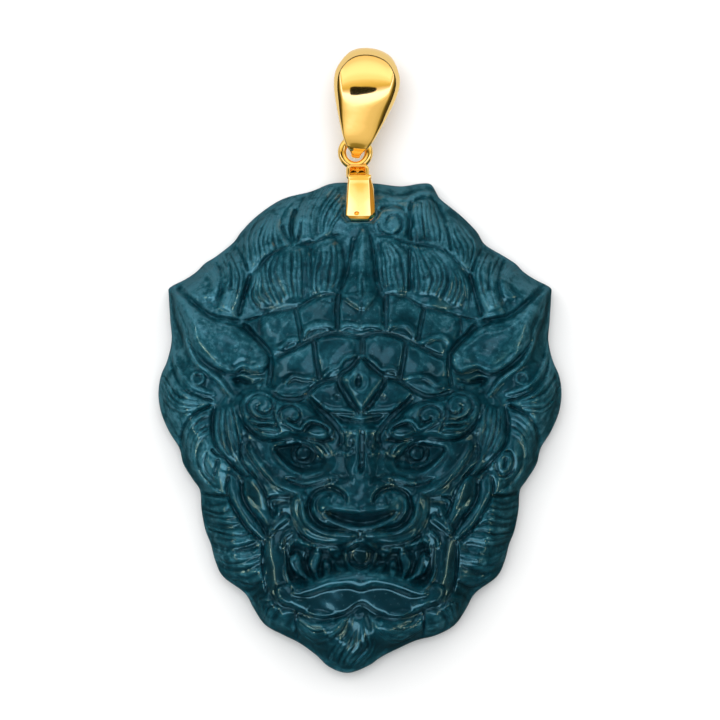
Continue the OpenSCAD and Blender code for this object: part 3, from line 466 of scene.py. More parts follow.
# Locks of hair between two guide lines: strands, depth of the lines, rise, the two guides.
LOCKS_BOTH = [
    # above the ear, and the curl behind its tip
    (4, .26, .5, [(13.2, 11.6), (12.1, 9.2), (12.4, 7.0), (13.3, 4.8)],
     [(15.2, 10.8), (14.2, 8.8), (14.3, 7.0), (14.8, 5.4)]),
    (4, .22, .4, [(15.4, 10.7), (14.6, 8.8), (14.8, 7.2), (15.6, 5.9)],
     [(17.5, 9.1), (16.2, 8.9), (15.7, 7.8), (16.5, 6.7)]),
    # side lock under the ear
    (5, .28, .5, [(15.4, -4.1), (17.5, -3.3), (19.2, -1.8), (20.1, .4)],
     [(16.6, -5.3), (19.0, -5.6), (20.6, -4.6), (21.3, -3.2)]),
    # lock round the curl beside the cheek
    (6, .34, .5, [(15.3, -4.8), (17.3, -5.4), (18.7, -7.3), (18.9, -9.6), (18.3, -11.6),
                  (17.2, -13.1), (16.2, -14.1)],
     [(15.5, -7.7), (16.7, -8.4), (17.2, -9.8), (17.0, -11.4), (16.2, -12.7), (15.2, -13.5),
      (14.2, -14.2)]),
    # lock beside the brow
    (5, .36, .4, [(13.2, -4.5), (12.6, -6.0), (12.3, -8.0), (12.2, -9.8), (11.6, -12.1)],
     [(15.1, -4.8), (15.4, -6.8), (14.9, -8.8), (13.6, -10.6), (12.0, -12.4)]),
    # locks under the jaw
    (5, .34, .5, [(9.8, -24.4), (11.0, -24.8), (11.5, -25.7), (11.0, -26.6)],
     [(8.1, -26.1), (9.1, -27.0), (9.3, -28.0), (8.9, -28.9)]),
]
LOCKS_SINGLE = [
    # sagging bundles beside the cheek: right, then left
    (3, .34, .5, [(13.7, -14.4), (14.6, -15.0), (15.6, -15.1), (16.8, -14.5)],
     [(12.2, -17.4), (13.6, -17.0), (15.0, -17.3), (16.4, -17.2)]),
    (3, .4, .5, [(11.9, -17.5), (13.4, -17.2), (15.0, -17.5), (16.4, -17.3)],
     [(10.5, -19.6), (11.4, -19.3), (13.6, -19.7), (15.8, -19.3)]),
    (3, .4, .5, [(10.4, -19.8), (12.0, -20.2), (14.0, -20.5), (15.7, -19.6)],
     [(10.4, -21.6), (11.9, -22.2), (13.4, -22.5), (15.0, -21.8)]),
    (3, .4, .5, [(10.2, -22.0), (11.8, -22.5), (13.3, -22.7), (14.8, -22.0)],
     [(9.9, -24.0), (11.2, -24.4), (12.4, -24.3), (13.3, -23.6)]),
    (3, .34, .5, [(-13.8, -14.8), (-14.8, -15.2), (-15.8, -15.2), (-16.8, -14.8)],
     [(-12.3, -17.2), (-13.6, -17.4), (-15.2, -17.3), (-16.4, -17.0)]),
    (3, .4, .5, [(-12.2, -17.5), (-13.6, -17.6), (-15.2, -17.5), (-16.4, -17.2)],
     [(-10.5, -19.1), (-12.4, -19.7), (-14.2, -19.7), (-15.8, -19.2)]),
    (3, .4, .5, [(-10.4, -19.4), (-12.4, -20.0), (-14.2, -20.0), (-15.7, -19.5)],
     [(-10.1, -21.2), (-12.0, -21.9), (-13.6, -21.9), (-15.2, -21.3)]),
    (3, .4, .5, [(-10.0, -21.5), (-11.8, -22.1), (-13.4, -22.2), (-15.0, -21.6)],
     [(-9.8, -23.6), (-11.0, -24.2), (-12.3, -24.2), (-13.2, -23.7)]),
    # right of the crest, and the two bundles over the headdress
    (5, .3, .5, [(1.7, 13.0), (1.9, 10.6), (2.1, 8.9), (2.7, 7.3)],
     [(3.4, 12.7), (4.8, 11.3), (5.1, 9.4), (5.0, 7.1)]),
    (6, .3, .5, [(4.0, 12.4), (5.4, 11.0), (5.6, 9.0), (5.5, 6.9)],
     [(7.4, 11.8), (8.8, 10.1), (9.2, 8.2), (8.5, 6.4)]),
    (5, .3, .3, [(7.4, 11.8), (8.8, 10.1), (9.2, 8.2), (8.5, 6.4)],
     [(9.4, 10.9), (11.2, 8.9), (11.7, 7.0), (11.3, 5.0)]),
    # left of the crest, and the two bundles over the headdress
    (6, .32, .5, [(-5.5, 11.4), (-5.75, 9.4), (-5.5, 7.9), (-5.3, 6.7)],
     [(-2.0, 12.5), (-1.5, 10.6), (-1.7, 9.0), (-2.5, 7.3)]),
    (5, .32, .4, [(-11.3, 8.5), (-11.8, 7.2), (-11.6, 6.1), (-11.0, 5.2)],
     [(-8.9, 11.2), (-9.5, 9.4), (-9.2, 7.8), (-8.2, 6.1)]),
    (5, .3, .4, [(-8.9, 11.2), (-9.5, 9.4), (-9.2, 7.8), (-8.2, 6.1)],
     [(-6.2, 11.7), (-5.95, 9.8), (-5.9, 8.2), (-5.9, 6.5)]),
    # round scroll and corner at the top right
    (6, .22, .4, [(5.5, 16.9), (5.4, 15.4), (5.6, 14.0), (6.1, 12.4)],
     [(8.1, 17.2), (8.7, 15.2), (8.9, 13.6), (8.7, 12.0)]),
    # outer hair: right, left, left fan, beside the clip
    (6, .3, .4, [(8.3, 17.0), (9.1, 14.6), (9.4, 12.6), (10.0, 10.5)],
     [(9.6, 16.1), (12.0, 13.6), (12.9, 12.0), (12.1, 9.2)]),
    (8, .26, .5, [(-9.2, 16.6), (-11.3, 14.7), (-12.3, 12.8), (-12.0, 10.0)],
     [(-6.6, 17.2), (-8.1, 15.4), (-8.3, 13.8), (-7.4, 12.0)]),
    (7, .36, .5, [(-5.6, 17.7), (-6.5, 15.9), (-6.6, 14.0), (-6.5, 12.4)],
     [(-2.6, 18.3), (-4.1, 16.2), (-4.6, 14.4), (-4.6, 12.7)]),
    (5, .45, .3, [(-2.6, 18.3), (-4.0, 16.2), (-4.4, 14.6), (-4.4, 13.1)],
     [(-1.4, 15.9), (-2.0, 15.0), (-2.7, 14.2), (-3.1, 13.2)]),
    # beard: right bundle, left bundle, point
    (5, .45, .6, [(1.1, -27.2), (1.9, -28.9), (3.2, -29.9), (4.8, -30.1), (6.6, -28.9)],
     [(2.2, -27.1), (3.1, -27.6), (4.4, -27.9), (5.6, -27.4), (6.6, -26.5)]),
    (5, .45, .6, [(-1.1, -26.9), (-2.0, -28.4), (-3.6, -29.7), (-5.2, -29.8), (-6.7, -28.5)],
     [(-2.6, -27.1), (-3.8, -27.4), (-5.0, -27.5), (-6.0, -27.0), (-6.6, -26.5)]),
    (7, .44, .35, [(-.6, -26.5), (-1.3, -28.5), (-2.8, -30.2), (-3.6, -31.9)],
     [(.5, -26.5), (1.3, -28.6), (1.7, -30.4), (.3, -32.4)]),
]
# Painted shade on the stone, places darkened in its colour: centre, radii, amount.
SHADED_BOTH = [
    # eye, jaw, cheek, corners of the plates, pad beside the diamond
    (5.95, -9.75, .85, .85, 1.5), (8.8, -21, 1.8, 4.8, 1.1), (11, -11.5, 2.4, 6, .5),
    (7.3, -1.7, 1.0, .8, 1.0), (3.7, -1.4, .5, .7, 1.1), (7.9, 1.6, 1.0, .6, .8),
    (2.6, 5.9, .4, 1.0, .8), (2.6, -3.4, .6, .9, 1.1), (4.9, 2.8, .5, .6, .8),
    # beside the bridge, and under the inner scroll of the brow
    (2.2, -8.7, .4, .7, 1.3), (.9, -8.5, .3, .7, 1.3), (4.9, -7.3, .6, .5, 1.0),
]
SHADED_MIDDLE = [
    # pearl, chin, step of the nose, upper lip
    (.05, -20.45, 1.3, 1.3, 1.2), (0, -25.1, 8.5, 2.0, 1.3), (0, -5.2, 4, 1.5, .4),
    (0, -17.6, 6, 2.4, .4),
]


def smooth_line(points, steps=5, closed=False):
    """Curve through the points: on each stretch a cubic whose slope at a point is half the
    way between that point's two neighbours."""
    p = np.asarray(points, float)
    if closed:
        p = np.vstack([p[-1:], p, p[:2]])
    else:
        p = np.vstack([2 * p[:1] - p[1:2], p, 2 * p[-1:] - p[-2:-1]])
    a, b, c, d = p[:-3, None], p[1:-2, None], p[2:-1, None], p[3:, None]
    t = (np.arange(steps) / steps)[None, :, None]
    line = (2 * b + (c - a) * t + (2 * a - 5 * b + 4 * c - d) * t ** 2
            + (3 * b - a - 3 * c + d) * t ** 3) / 2
    line = line.reshape(-1, p.shape[1])
    return np.vstack([line, p[1:2] if closed else p[-2:-1]])


def nearest(places, line):
    """For each place the distance to the line, the share of the way along it, and a number
    that is positive on the line's left."""
    a, d = line[:-1], np.diff(line, axis=0)
    size = np.maximum((d ** 2).sum(1), 1e-12)
    rel = places[:, None, :] - a[None]
    t = np.clip((rel * d).sum(2) / size, 0, 1)
    gap = np.sqrt(((rel - t[..., None] * d) ** 2).sum(2))
    best = gap.argmin(1)
    rows = np.arange(len(places))
    steps = np.sqrt(size)
    start = np.concatenate([[0], np.cumsum(steps)[:-1]])
    share = (start[best] + t[rows, best] * steps[best]) / steps.sum()
    side = d[best, 0] * rel[rows, best, 1] - d[best, 1] * rel[rows, best, 0]
    return gap[rows, best], share, side


def inside(places, outline):
    """True where a ray from the place to the right crosses the outline an odd number of times."""
    a, b = outline[:-1], outline[1:]
    y = places[:, 1:2]
    crosses = (a[:, 1] > y) != (b[:, 1] > y)
    run = np.where(b[:, 1] == a[:, 1], 1, b[:, 1] - a[:, 1])
    at = a[:, 0] + (y - a[:, 1]) / run * (b[:, 0] - a[:, 0])
    return (crosses & (places[:, 0:1] < at)).sum(1) % 2 == 1


def mirrored(path):
    """The path on the other side of the face."""
    return [(-x, y) for x, y in path]


class Relief:
    """Heights over a set of places: what is raised is added up, and of the cut lines that
    meet at a place the deepest counts. It also keeps what the material needs: the distance to
    the nearest strap up to NO_SEAM, the count of strands across a lock, and how marked they
    are."""
    NO_SEAM = 0.6

    def __init__(self, places):
        self.places = places
        self.lift = np.zeros(len(places))
        self.cut = np.zeros(len(places))
        self.seam = np.full(len(places), self.NO_SEAM)
        self.strand = np.zeros(len(places))
        self.mark = np.zeros(len(places))

    def near(self, line, margin):
        """Numbers of the places inside the line's box, widened by a margin."""
        low, high = line.min(0) - margin, line.max(0) + margin
        return np.nonzero(((self.places > low) & (self.places < high)).all(1))[0]

    def within(self, outline):
        """Numbers of the places inside a closed line."""
        ids = self.near(outline, 0)
        return ids[inside(self.places[ids], outline)]

    def along(self, path, reach, ends):
        """Places in reach of a path: their numbers, distance and side, and a fade that climbs
        from 0 at both ends of the path to 1 over the share of it that ends gives."""
        line = smooth_line(path)
        ids = self.near(line, reach)
        gap, share, side = nearest(self.places[ids], line)
        return ids, gap, side, np.clip(np.minimum(share, 1 - share) / ends, 0, 1)

    def swell(self, cx, cy, rx, ry, turn, rise, soft):
        """Oval swell: rise times (1 - q) to the power soft, q being the squared distance
        from the centre measured in radii."""
        a = math.radians(turn)
        dx, dy = self.places[:, 0] - cx, self.places[:, 1] - cy
        u = (dx * math.cos(a) + dy * math.sin(a)) / rx
        v = (dy * math.cos(a) - dx * math.sin(a)) / ry
        self.lift += rise * np.clip(1 - u * u - v * v, 0, 1) ** soft

    def round(self, cx, cy, radius, half, rise):
        """Ball cap, rise times the root of 1 - (r / radius) squared, or a ring whose section
        is (1 - q squared) squared, q being the distance from its circle in half widths."""
        r = np.hypot(self.places[:, 0] - cx, self.places[:, 1] - cy)
        if half == 0:
            self.lift += rise * np.sqrt(np.clip(1 - (r / radius) ** 2, 0, 1))
        else:
            q = np.clip(np.abs(r - radius) / half, 0, 1)
            self.lift += rise * (1 - q * q) ** 2

    def pad(self, rise, shoulder, outline):
        """Raised pad: from its outline the height climbs a quarter circle over the shoulder's
        width, then stays level."""
        line = smooth_line(outline, closed=True)
        ids = self.within(line)
        s = 1 - np.clip(nearest(self.places[ids], line)[0] / shoulder, 0, 1)
        self.lift[ids] += rise * np.sqrt(1 - s * s)

    def dish(self, depth, slope, outline):
        """Sunken dish: from its outline the floor falls by a smooth step over the slope."""
        line = smooth_line(outline, closed=True)
        ids = self.within(line)
        t = np.clip(nearest(self.places[ids], line)[0] / slope, 0, 1)
        self.lift[ids] -= depth * t * t * (3 - 2 * t)

    def stroke(self, half, height, path, ends):
        """Height of a stroke: (1 - q squared) squared across it, q being the distance in half
        widths, thinning and fading over its ends. Gives the places it reaches as well."""
        ids, gap, _, fade = self.along(path, half, ends)
        fade = fade * (2 - fade)
        q = np.clip(gap / (half * (0.55 + 0.45 * fade)), 0, 1)
        return ids, height * fade * (1 - q * q) ** 2

    def ridge(self, half, rise, path):
        """Stroke that is raised, with long thin ends."""
        ids, h = self.stroke(half, rise, path, ends=0.18)
        self.lift[ids] += h

    def groove(self, half, depth, path):
        """Stroke that is cut, with shorter ends."""
        ids, h = self.stroke(half, depth, path, ends=0.1)
        self.cut[ids] = np.maximum(self.cut[ids], h)

    def lip(self, reach, rise, path):
        """A standing lip: left of the path the height climbs a quarter circle over 0.45 of
        the reach, then falls away as the square of what is left of it. The right of the
        path is hollowed by two thirds of the rise, over half the reach."""
        ids, gap, side, fade = self.along(path, reach, 0.12)
        q = np.clip(gap / reach, 0, 1)
        climb = np.sqrt(np.clip(1 - (1 - q / 0.45) ** 2, 0, 1))
        up = np.where(q < 0.45, climb, ((1 - q) / 0.55) ** 2)
        down = np.clip(1 - 2 * q, 0, 1) ** 2
        self.lift[ids] += rise * fade * np.where(side > 0, up, -0.67 * down)

    def strap(self, half, depth, path):
        """Two cut lines side by side with a low strip between them: (1 - q squared) squared
        across both, q being the distance in half widths, less half of it in the middle."""
        ids, gap, _, fade = self.along(path, half, 0.06)
        q = np.clip(gap / half, 0, 1)
        hump = 1 - 0.5 * np.exp(-(q / 0.3) ** 2)
        self.cut[ids] = np.maximum(self.cut[ids], 1.25 * depth * fade * (1 - q * q) ** 2 * hump)
        self.seam[ids] = np.minimum(self.seam[ids], np.where(fade > 0.5, gap, self.NO_SEAM))

    def lock(self, count, depth, rise, first, last, seed):
        """Lock of hair between two guides. Each place has a share w of the way from the first
        guide to the last. Its rise is the root of 4 w (1 - w), so the lock is round across.
        The strands are arches, the sine of pi w count, parted by sharp lines of uneven depth
        that sway a little along the lock and run out at its ends and where it is narrow."""
        a, b = smooth_line(first), smooth_line(last)
        ids = self.within(np.vstack([a, b[::-1], a[:1]]))
        (da, ta, _), (db, tb, _) = nearest(self.places[ids], a), nearest(self.places[ids], b)
        w = da / (da + db + 1e-9)
        t = ta * (1 - w) + tb * w
        end = np.minimum(t, 1 - t)
        body = np.sqrt(np.clip(4 * w * (1 - w), 0, 1))
        sway = np.sin(t * (4 + math.sin(seed)) + 2.1 * seed + 5 * w)
        s = w * count + 0.25 * body * sway
        own = 0.75 + 0.35 * np.sin(np.round(s) * 2.4 + seed * 1.7)
        calm = np.clip((da + db) / count / 0.3 - 0.6, 0, 1) * np.clip(end / 0.07, 0, 1)
        line = 1 - np.abs(np.sin(math.pi * s))
        self.cut[ids] = np.maximum(self.cut[ids], 1.1 * depth * own * calm * line)
        self.lift[ids] += rise * body * np.clip(end / 0.1, 0, 1) ** 0.5
        self.strand[ids] = s
        self.mark[ids] = calm * np.clip(3 * count * np.minimum(w, 1 - w) - 0.5, 0, 1) * own


def carve(places):
    """Raised and cut height of the whole carving at the places, over a faint unevenness that
    is a sum of sines, and the three fields that the relief keeps for the material."""
    r = Relief(places)
    x, y = places.T
    r.lift += 0.045 * (np.sin(1.5 * x + 1.1 * y + np.sin(0.9 * y)) + np.sin(1.3 * y - 1.9 * x + 2)
                       + 0.5 * np.sin(2.6 * x + np.sin(1.5 * y) + 1) * np.sin(2.3 * y))
    for row in SWELLS_MIDDLE:
        r.swell(*row)
    for cx, cy, rx, ry, turn, rise, soft in SWELLS_BOTH:
        r.swell(cx, cy, rx, ry, turn, rise, soft)
        r.swell(-cx, cy, rx, ry, -turn, rise, soft)
    for tool, rows in ((r.dish, DISHES_BOTH), (r.pad, PADS_BOTH), (r.pad, TEETH_BOTH),
                       (r.ridge, RIDGES_BOTH), (r.lip, LIPS_BOTH), (r.strap, STRAPS_BOTH),
                       (r.groove, CUTS_BOTH)):
        for size, width, path in rows:
            tool(size, width, path)
            tool(size, width, mirrored(path)[::-1])
    for tool, rows in ((r.dish, DISHES_MIDDLE), (r.pad, PADS_MIDDLE), (r.ridge, RIDGES_MIDDLE),
                       (r.lip, LIPS_MIDDLE), (r.strap, STRAPS_MIDDLE), (r.groove, CUTS_MIDDLE)):
        for row in rows:
            tool(*row)
    for cx, cy, radius, half, rise in ROUNDS_BOTH:
        r.round(cx, cy, radius, half, rise)
        r.round(-cx, cy, radius, half, rise)
    for row in ROUNDS_MIDDLE:
        r.round(*row)
    for n, (count, depth, rise, first, last) in enumerate(LOCKS_BOTH):
        r.lock(count, depth, rise, first, last, n)
        r.lock(count, depth, rise, mirrored(first), mirrored(last), n + 40)
    for n, row in enumerate(LOCKS_SINGLE):
        r.lock(*row, n + 80)
    return r.lift - r.cut, r.seam, r.strand, r.mark


def polish(z, rounds):
    """Each height becomes a quarter, half and quarter mix with its neighbours, along the
    rows and then the columns. The edge stays."""
    for _ in range(rounds):
        z[1:-1, 1:-1] = (z[:-2, 1:-1] + 2 * z[1:-1, 1:-1] + z[2:, 1:-1]) / 4
        z[1:-1, 1:-1] = (z[1:-1, :-2] + 2 * z[1:-1, 1:-1] + z[1:-1, 2:]) / 4
    return z


def stone_front():
    """Places and heights of the front's grid, as arrays of (2 CELLS + 1) rows and columns.
    Square ring k of the grid lies at k / CELLS of the way from the hub to the edge. The relief
    is worked out twice as finely, smoothed, and every other place of it is kept."""
    cells = 2 * CELLS
    side = np.arange(-cells, cells + 1)
    i, j = np.meshgrid(side, side, indexing="ij")
    k = np.maximum(np.abs(i), np.abs(j))
    safe = np.maximum(k, 1)
    turn = np.where(i == k, 45 * j / safe,
                    np.where(j == k, 90 - 45 * i / safe,
                             np.where(i == -k, 180 - 45 * j / safe, 270 + 45 * i / safe)))
    turn = np.radians(np.where(turn > 180, turn - 360, turn))
    line = smooth_line(EDGE, closed=True)[:-1] - HUB
    angle = np.arctan2(line[:, 1], line[:, 0])
    order = angle.argsort()
    reach = np.interp(turn, angle[order], np.hypot(*line[order].T), period=2 * math.pi)
    share = k / cells
    x = HUB[0] + reach * share * np.cos(turn)
    y = HUB[1] + reach * share * np.sin(turn)
    inset = (1 - share) * reach
    shoulder = np.sin(np.clip(inset / SHOULDER_W, 0, 1) * math.pi / 2)
    carving, *fields = carve(np.stack([x.ravel(), y.ravel()], 1))
    carving = carving.reshape(x.shape) * np.clip(inset / EDGE_W, 0, 1)
    z = polish(RIM_H + SHOULDER_H * shoulder + DOME_H * (1 - share ** 2) + carving, 1)
    return [part.reshape(x.shape)[::2, ::2] for part in (x, y, z, *fields)]


def build(name, points, faces, material, slot, nodes=(), fields=None):
    """Puts one mesh in the scene from its corners, in millimetres, and a list of arrays of
    faces, one row of corner numbers a face. It rides with the pendant. Each named field is
    a number for each corner that its material reads."""
    mesh = bpy.data.meshes.new(name)
    mesh.vertices.add(len(points))
    mesh.vertices.foreach_set("co", (np.asarray(points, float) * MM).ravel())
    corners = np.concatenate([f.ravel() for f in faces])
    sizes = np.concatenate([np.full(len(f), f.shape[1]) for f in faces])
    mesh.loops.add(len(corners))
    mesh.loops.foreach_set("vertex_index", corners)
    mesh.polygons.add(len(sizes))
    mesh.polygons.foreach_set("loop_start", np.concatenate([[0], np.cumsum(sizes)[:-1]]))
    mesh.polygons.foreach_set("use_smooth", np.ones(len(sizes), bool))
    for title, values in (fields or {}).items():
        mesh.attributes.new(title, "FLOAT", "POINT").data.foreach_set("value", values)
    mesh.materials.append(material)
    mesh.update(calc_edges=True)
    obj = bpy.data.objects.new(name, mesh)
    bpy.context.scene.collection.objects.link(obj)
    if nodes:
        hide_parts(*nodes)
    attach(obj, "root")
    return obj


def cells(ids, round_rows=False, round_columns=False):
    """Quads of a table of corner numbers, one for each two by two block. A round side joins
    its last line to its first."""
    if round_rows:
        ids = np.vstack([ids, ids[:1]])
    if round_columns:
        ids = np.hstack([ids, ids[:, :1]])
    return np.stack([ids[:-1, :-1], ids[1:, :-1], ids[1:, 1:], ids[:-1, 1:]], -1).reshape(-1, 4)


def fan(ring, tip):
    """Triangles from a closed ring of corners to one corner."""
    return np.stack([np.roll(ring, -1), ring, np.full(len(ring), tip)], 1)


def closed_loop(rows):
    """Places and faces of a table of places that is round both ways."""
    ids = np.arange(rows.shape[0] * rows.shape[1]).reshape(rows.shape[:2])
    return rows.reshape(-1, 3), [cells(ids, True, True)]


def closed_rows(rows):
    """Places and faces of a table of places whose rows are closed rings, with a fan from the
    middle of each end ring."""
    count = rows.shape[0] * rows.shape[1]
    ids = np.arange(count).reshape(rows.shape[:2])
    points = np.vstack([rows.reshape(-1, 3), rows[0].mean(0), rows[-1].mean(0)])
    return points, [cells(ids, round_columns=True), fan(ids[0, ::-1], count),
                    fan(ids[-1], count + 1)]


def rounded_box(wide, thick, corner, flat=8, turn=5):
    """Sections with rounded corners, one a row, for arrays of half widths and thicknesses.
    Each corner is a quarter circle of turn + 1 places, and the two long sides have flat - 1
    places between. Gives the places across and through."""
    a = np.radians(90 - np.linspace(0, 90, turn + 1))
    t = np.linspace(0, 1, flat + 1)[1:-1]
    w, h = np.asarray(wide, float)[:, None], np.asarray(thick, float)[:, None]
    c = np.minimum(corner, 0.98 * np.minimum(w, h))
    across, through = [], []
    for n, (sx, sy) in enumerate([(1, 1), (1, -1), (-1, -1), (-1, 1)]):
        across.append(sx * (w - c) + c * np.cos(a - n * math.pi / 2))
        through.append(sy * (h - c) + c * np.sin(a - n * math.pi / 2))
        if n % 2:
            across.append((w - c) * sx * (1 - 2 * t))
            through.append(h * sy + 0 * t)
    return np.hstack(across), np.hstack(through)


def plate_shape(length, grow):
    """Outline of a clip plate hung from its top edge, lower corners cut off."""
    top, low, end = TOP_HALF + grow, FOOT_HALF + grow, -length - grow
    p = [(-top, grow), (-low, end + CORNER), (CORNER - low, end),
         (low - CORNER, end), (low, end + CORNER), (top, grow)]
    return np.array(p + p[:1]) + (CLIP_X, CLIP_TOP)


def paint_relief_shading(x, y, z):
    """How pale the stone is painted at each place of its front, past its plain colour: painted
    light where the place stands above its surroundings and painted shade where it lies below
    them, wide and near, with a painted pale rim. In a place of painted shade it is less by the
    amount times e to the power of minus the distance in radii to the fourth."""
    relief_shading = 0
    # painted shade in hollows and painted light on ridges: how far each height stands above a
    # smoothed copy of itself
    for rounds, height in ((40, 0.4), (4, 0.05)):
        relief_shading = relief_shading + 0.5 * np.clip((z - polish(z.copy(), rounds)) / height, -1, 1)
    # painted shade in the listed shaded places, on both sides of the face
    mirror_images = [(-cx, *rest) for cx, *rest in SHADED_BOTH]
    for cx, cy, rx, ry, amount in [*SHADED_MIDDLE, *SHADED_BOTH, *mirror_images]:
        relief_shading = relief_shading - amount * np.exp(-np.hypot((x - cx) / rx, (y - cy) / ry) ** 4)
    # painted reflection: a pale rim along the outline of the front
    ring = np.abs(np.linspace(-1, 1, len(z)))
    share = np.maximum(ring[:, None], ring)
    return relief_shading + 0.9 * np.clip((share - 0.97) / 0.025, 0, 1)


def stone_skirt(edge):
    """Rings of places under the front's edge, as far inside it and as high as SKIRT says, with
    the seat of the clip's back plate sunk in."""
    out = (edge - HUB) / np.hypot(*(edge - HUB).T)[:, None]
    skirt = np.zeros((len(SKIRT), len(edge), 3))
    skirt[..., :2] = edge[None] - SKIRT[:, 0, None, None] * out[None]
    skirt[..., 2] = SKIRT[:, 1, None]
    seat = inside(skirt[..., :2].reshape(-1, 2), plate_shape(BACK_LENGTH, BACK_GAP))
    seat = seat.reshape(skirt.shape[:2])
    skirt[seat, 2] = np.maximum(skirt[seat, 2], BACK_SEAT)
    return skirt


def make_stone(material):
    """The front's grid with the seat of the clip's front plate cut in, the rings of its skirt
    below, and a fan to one point of the back under the hub. Its painted edge light, a paleness
    that stands in for light through the thinner stone, grows as the square of the distance from
    a place low in the face."""
    x, y, z, seam, strand, mark = stone_front()
    # painted light and shade of the relief, and painted light that grows paler towards the edge
    relief_shading = paint_relief_shading(x, y, z)
    edge_light = np.clip((x / 20) ** 2 + ((y + 14) / 26) ** 2, 0, 1.3)
    seat = inside(np.stack([x.ravel(), y.ravel()], 1), plate_shape(FRONT_LENGTH, FRONT_GAP))
    seat = seat.reshape(z.shape)
    z[seat] = np.minimum(z[seat], FRONT_SEAT)
    ids = np.arange(z.size).reshape(z.shape)
    rim = np.concatenate([ids[-1, :-1], ids[:0:-1, -1], ids[0, :0:-1], ids[:-1, 0]])
    skirt = stone_skirt(np.stack([x.ravel()[rim], y.ravel()[rim]], 1))
    points = np.vstack([np.stack([x.ravel(), y.ravel(), z.ravel()], 1), skirt.reshape(-1, 3),
                        [[*HUB, 0]]])
    below = z.size + np.arange(skirt.shape[0] * skirt.shape[1]).reshape(skirt.shape[:2])
    wall = cells(np.vstack([rim[None], below]), round_columns=True)
    fields = {name: np.concatenate([part.ravel(), np.full(len(points) - z.size, rest)])
              for name, part, rest in (("relief_shading", relief_shading, 0), ("seam", seam, Relief.NO_SEAM),
                                       ("strand", strand, 0), ("mark", mark, 0),
                                       ("edge_light", edge_light, 1))}
    return build("jade", points, [cells(ids), wall, fan(below[-1], len(points) - 1)],
                 material, "jade", ["jade_head"], fields)


def make_bail(material):
    """A rounded strip swept along a smooth closed line through the loop's table. Across its
    width it is bent down along an ellipse whose half width is 1 / reach of its own. The drop
    at its edges grows with the half width past 1.2 and fades towards the back."""
    reach, edge_drop = 0.93, 0.6325
    line = smooth_line(BAIL_LOOP, 12, closed=True)[:-1]
    for _ in range(60):
        line = (np.roll(line, 1, 0) + 2 * line + np.roll(line, -1, 0)) / 4
    v, depth, half = line.T
    run = np.roll(line, -1, 0)[:, :2] - np.roll(line, 1, 0)[:, :2]
    run = run / np.hypot(*run.T)[:, None]
    across, lift = rounded_box(half, np.full(len(v), BAIL_HALF), 0.22, flat=16)
    drop = 0.05 * half + 0.62 * np.maximum(half - 1.2, 0) * np.clip(1.1 + depth / 1.6, 0.1, 1)
    bent = 1 - np.sqrt(1 - (reach * across / half[:, None]) ** 2)
    lift = lift - (drop / edge_drop)[:, None] * bent
    up, out = v[:, None] + lift * run[:, 1:], depth[:, None] - lift * run[:, :1]
    a = math.radians(BAIL_LEAN)
    rows = np.stack([TIP_X + across * math.cos(a) + up * math.sin(a),
                     TIP_Y + up * math.cos(a) - across * math.sin(a), MID_Z + out], -1)
    return build("bail", *closed_loop(rows), material, "gold", ["bail"])


def make_strap(material):
    """Front plate, top and back plate of the clip: a rounded section along a line that runs up
    the front, bends over the stone's edge and runs down the back. The front face is lowered
    by straight bevels at its sides and foot, by the square of the place across it and of the
    height near its top, and by a cone for the dimple."""
    bend = np.radians(np.linspace(90, 0, 9))
    front = np.concatenate([FRONT_FOOT + np.array([0, 0.03, 0.1, 0.25]),
                            np.linspace(FRONT_FOOT + 0.3, 15.7, 24), np.linspace(16.1, 18.7, 11)])
    back = np.array([18.5, 17.5, 16.5, 16.01, 15.99, 15.55, 15.48, BACK_FOOT])
    top = CLIP_TOP + BEND * np.cos(bend)
    y = np.concatenate([front, top, top[::-1], back])
    front_z = FRONT_SEAT + SEAT_GAP + PLATE_HALF
    back_z = BACK_SEAT - SEAT_GAP - PLATE_HALF
    over = BEND * (1 - np.sin(bend))
    z = np.concatenate([np.full(len(front), front_z), front_z - over, back_z + over[::-1],
                        np.full(len(back), back_z)])
    wide = np.concatenate([np.interp(part, [foot, foot + CORNER, CLIP_TOP],
                                     [FOOT_HALF - CORNER, FOOT_HALF, TOP_HALF])
                           for part, foot in ((y[:-len(back)], FRONT_FOOT), (back, BACK_FOOT))])
    thick = np.full(len(y), PLATE_HALF)
    for end, cut in ((0, 0.11), (1, 0.03), (-1, 0.11), (-2, 0.03)):
        wide[end] -= cut
        thick[end] -= cut
    across, through = rounded_box(wide, thick, 0.1, flat=60)
    dy, dz = np.gradient(y), np.gradient(z)
    size = np.hypot(dy, dz)
    y, z = y[:, None], z[:, None]
    across = across - 0.15 * np.clip(across, 0, 9) * np.clip((y - 17.6) / 1.4, 0, 1) ** 2
    share = across / wide[:, None]
    low = (0.8 * np.clip(share - 0.66, 0, 1) + 0.5 * np.clip(-share - 0.86, 0, 1)
           + 0.1 * share ** 2 + 0.17 * np.clip((FRONT_FOOT + 0.5 - y) / 0.5, 0, 1)
           + 0.15 * np.clip((y - 16.4) / 2.3, 0, 1) ** 2)
    dimple = 0.5 * np.clip(1 - np.hypot(across + 0.4, (y - 15.4) * 1.3) / 0.24, 0, 1)
    in_front = (through > 0) & (z > front_z - 0.08)
    through = through - np.where(in_front, low + dimple, 0)
    rows = np.stack([CLIP_X + across, y - through * (dz / size)[:, None],
                     z + through * (dy / size)[:, None]], -1)
    return build("clip", *closed_rows(rows), material, "gold", ["clip"])


def make_neck(material):
    """A stack of rounded rectangles that closes in over the front and sinks into a window."""
    across, through = rounded_box(NECK[:, 0], NECK[:, 1], NECK[:, 2:3])
    rows = np.stack([NECK_X + across, NECK_Y + through, NECK[:, 3:] + 0 * across], -1)
    return build("clip_neck", *closed_rows(rows), material, "gold")


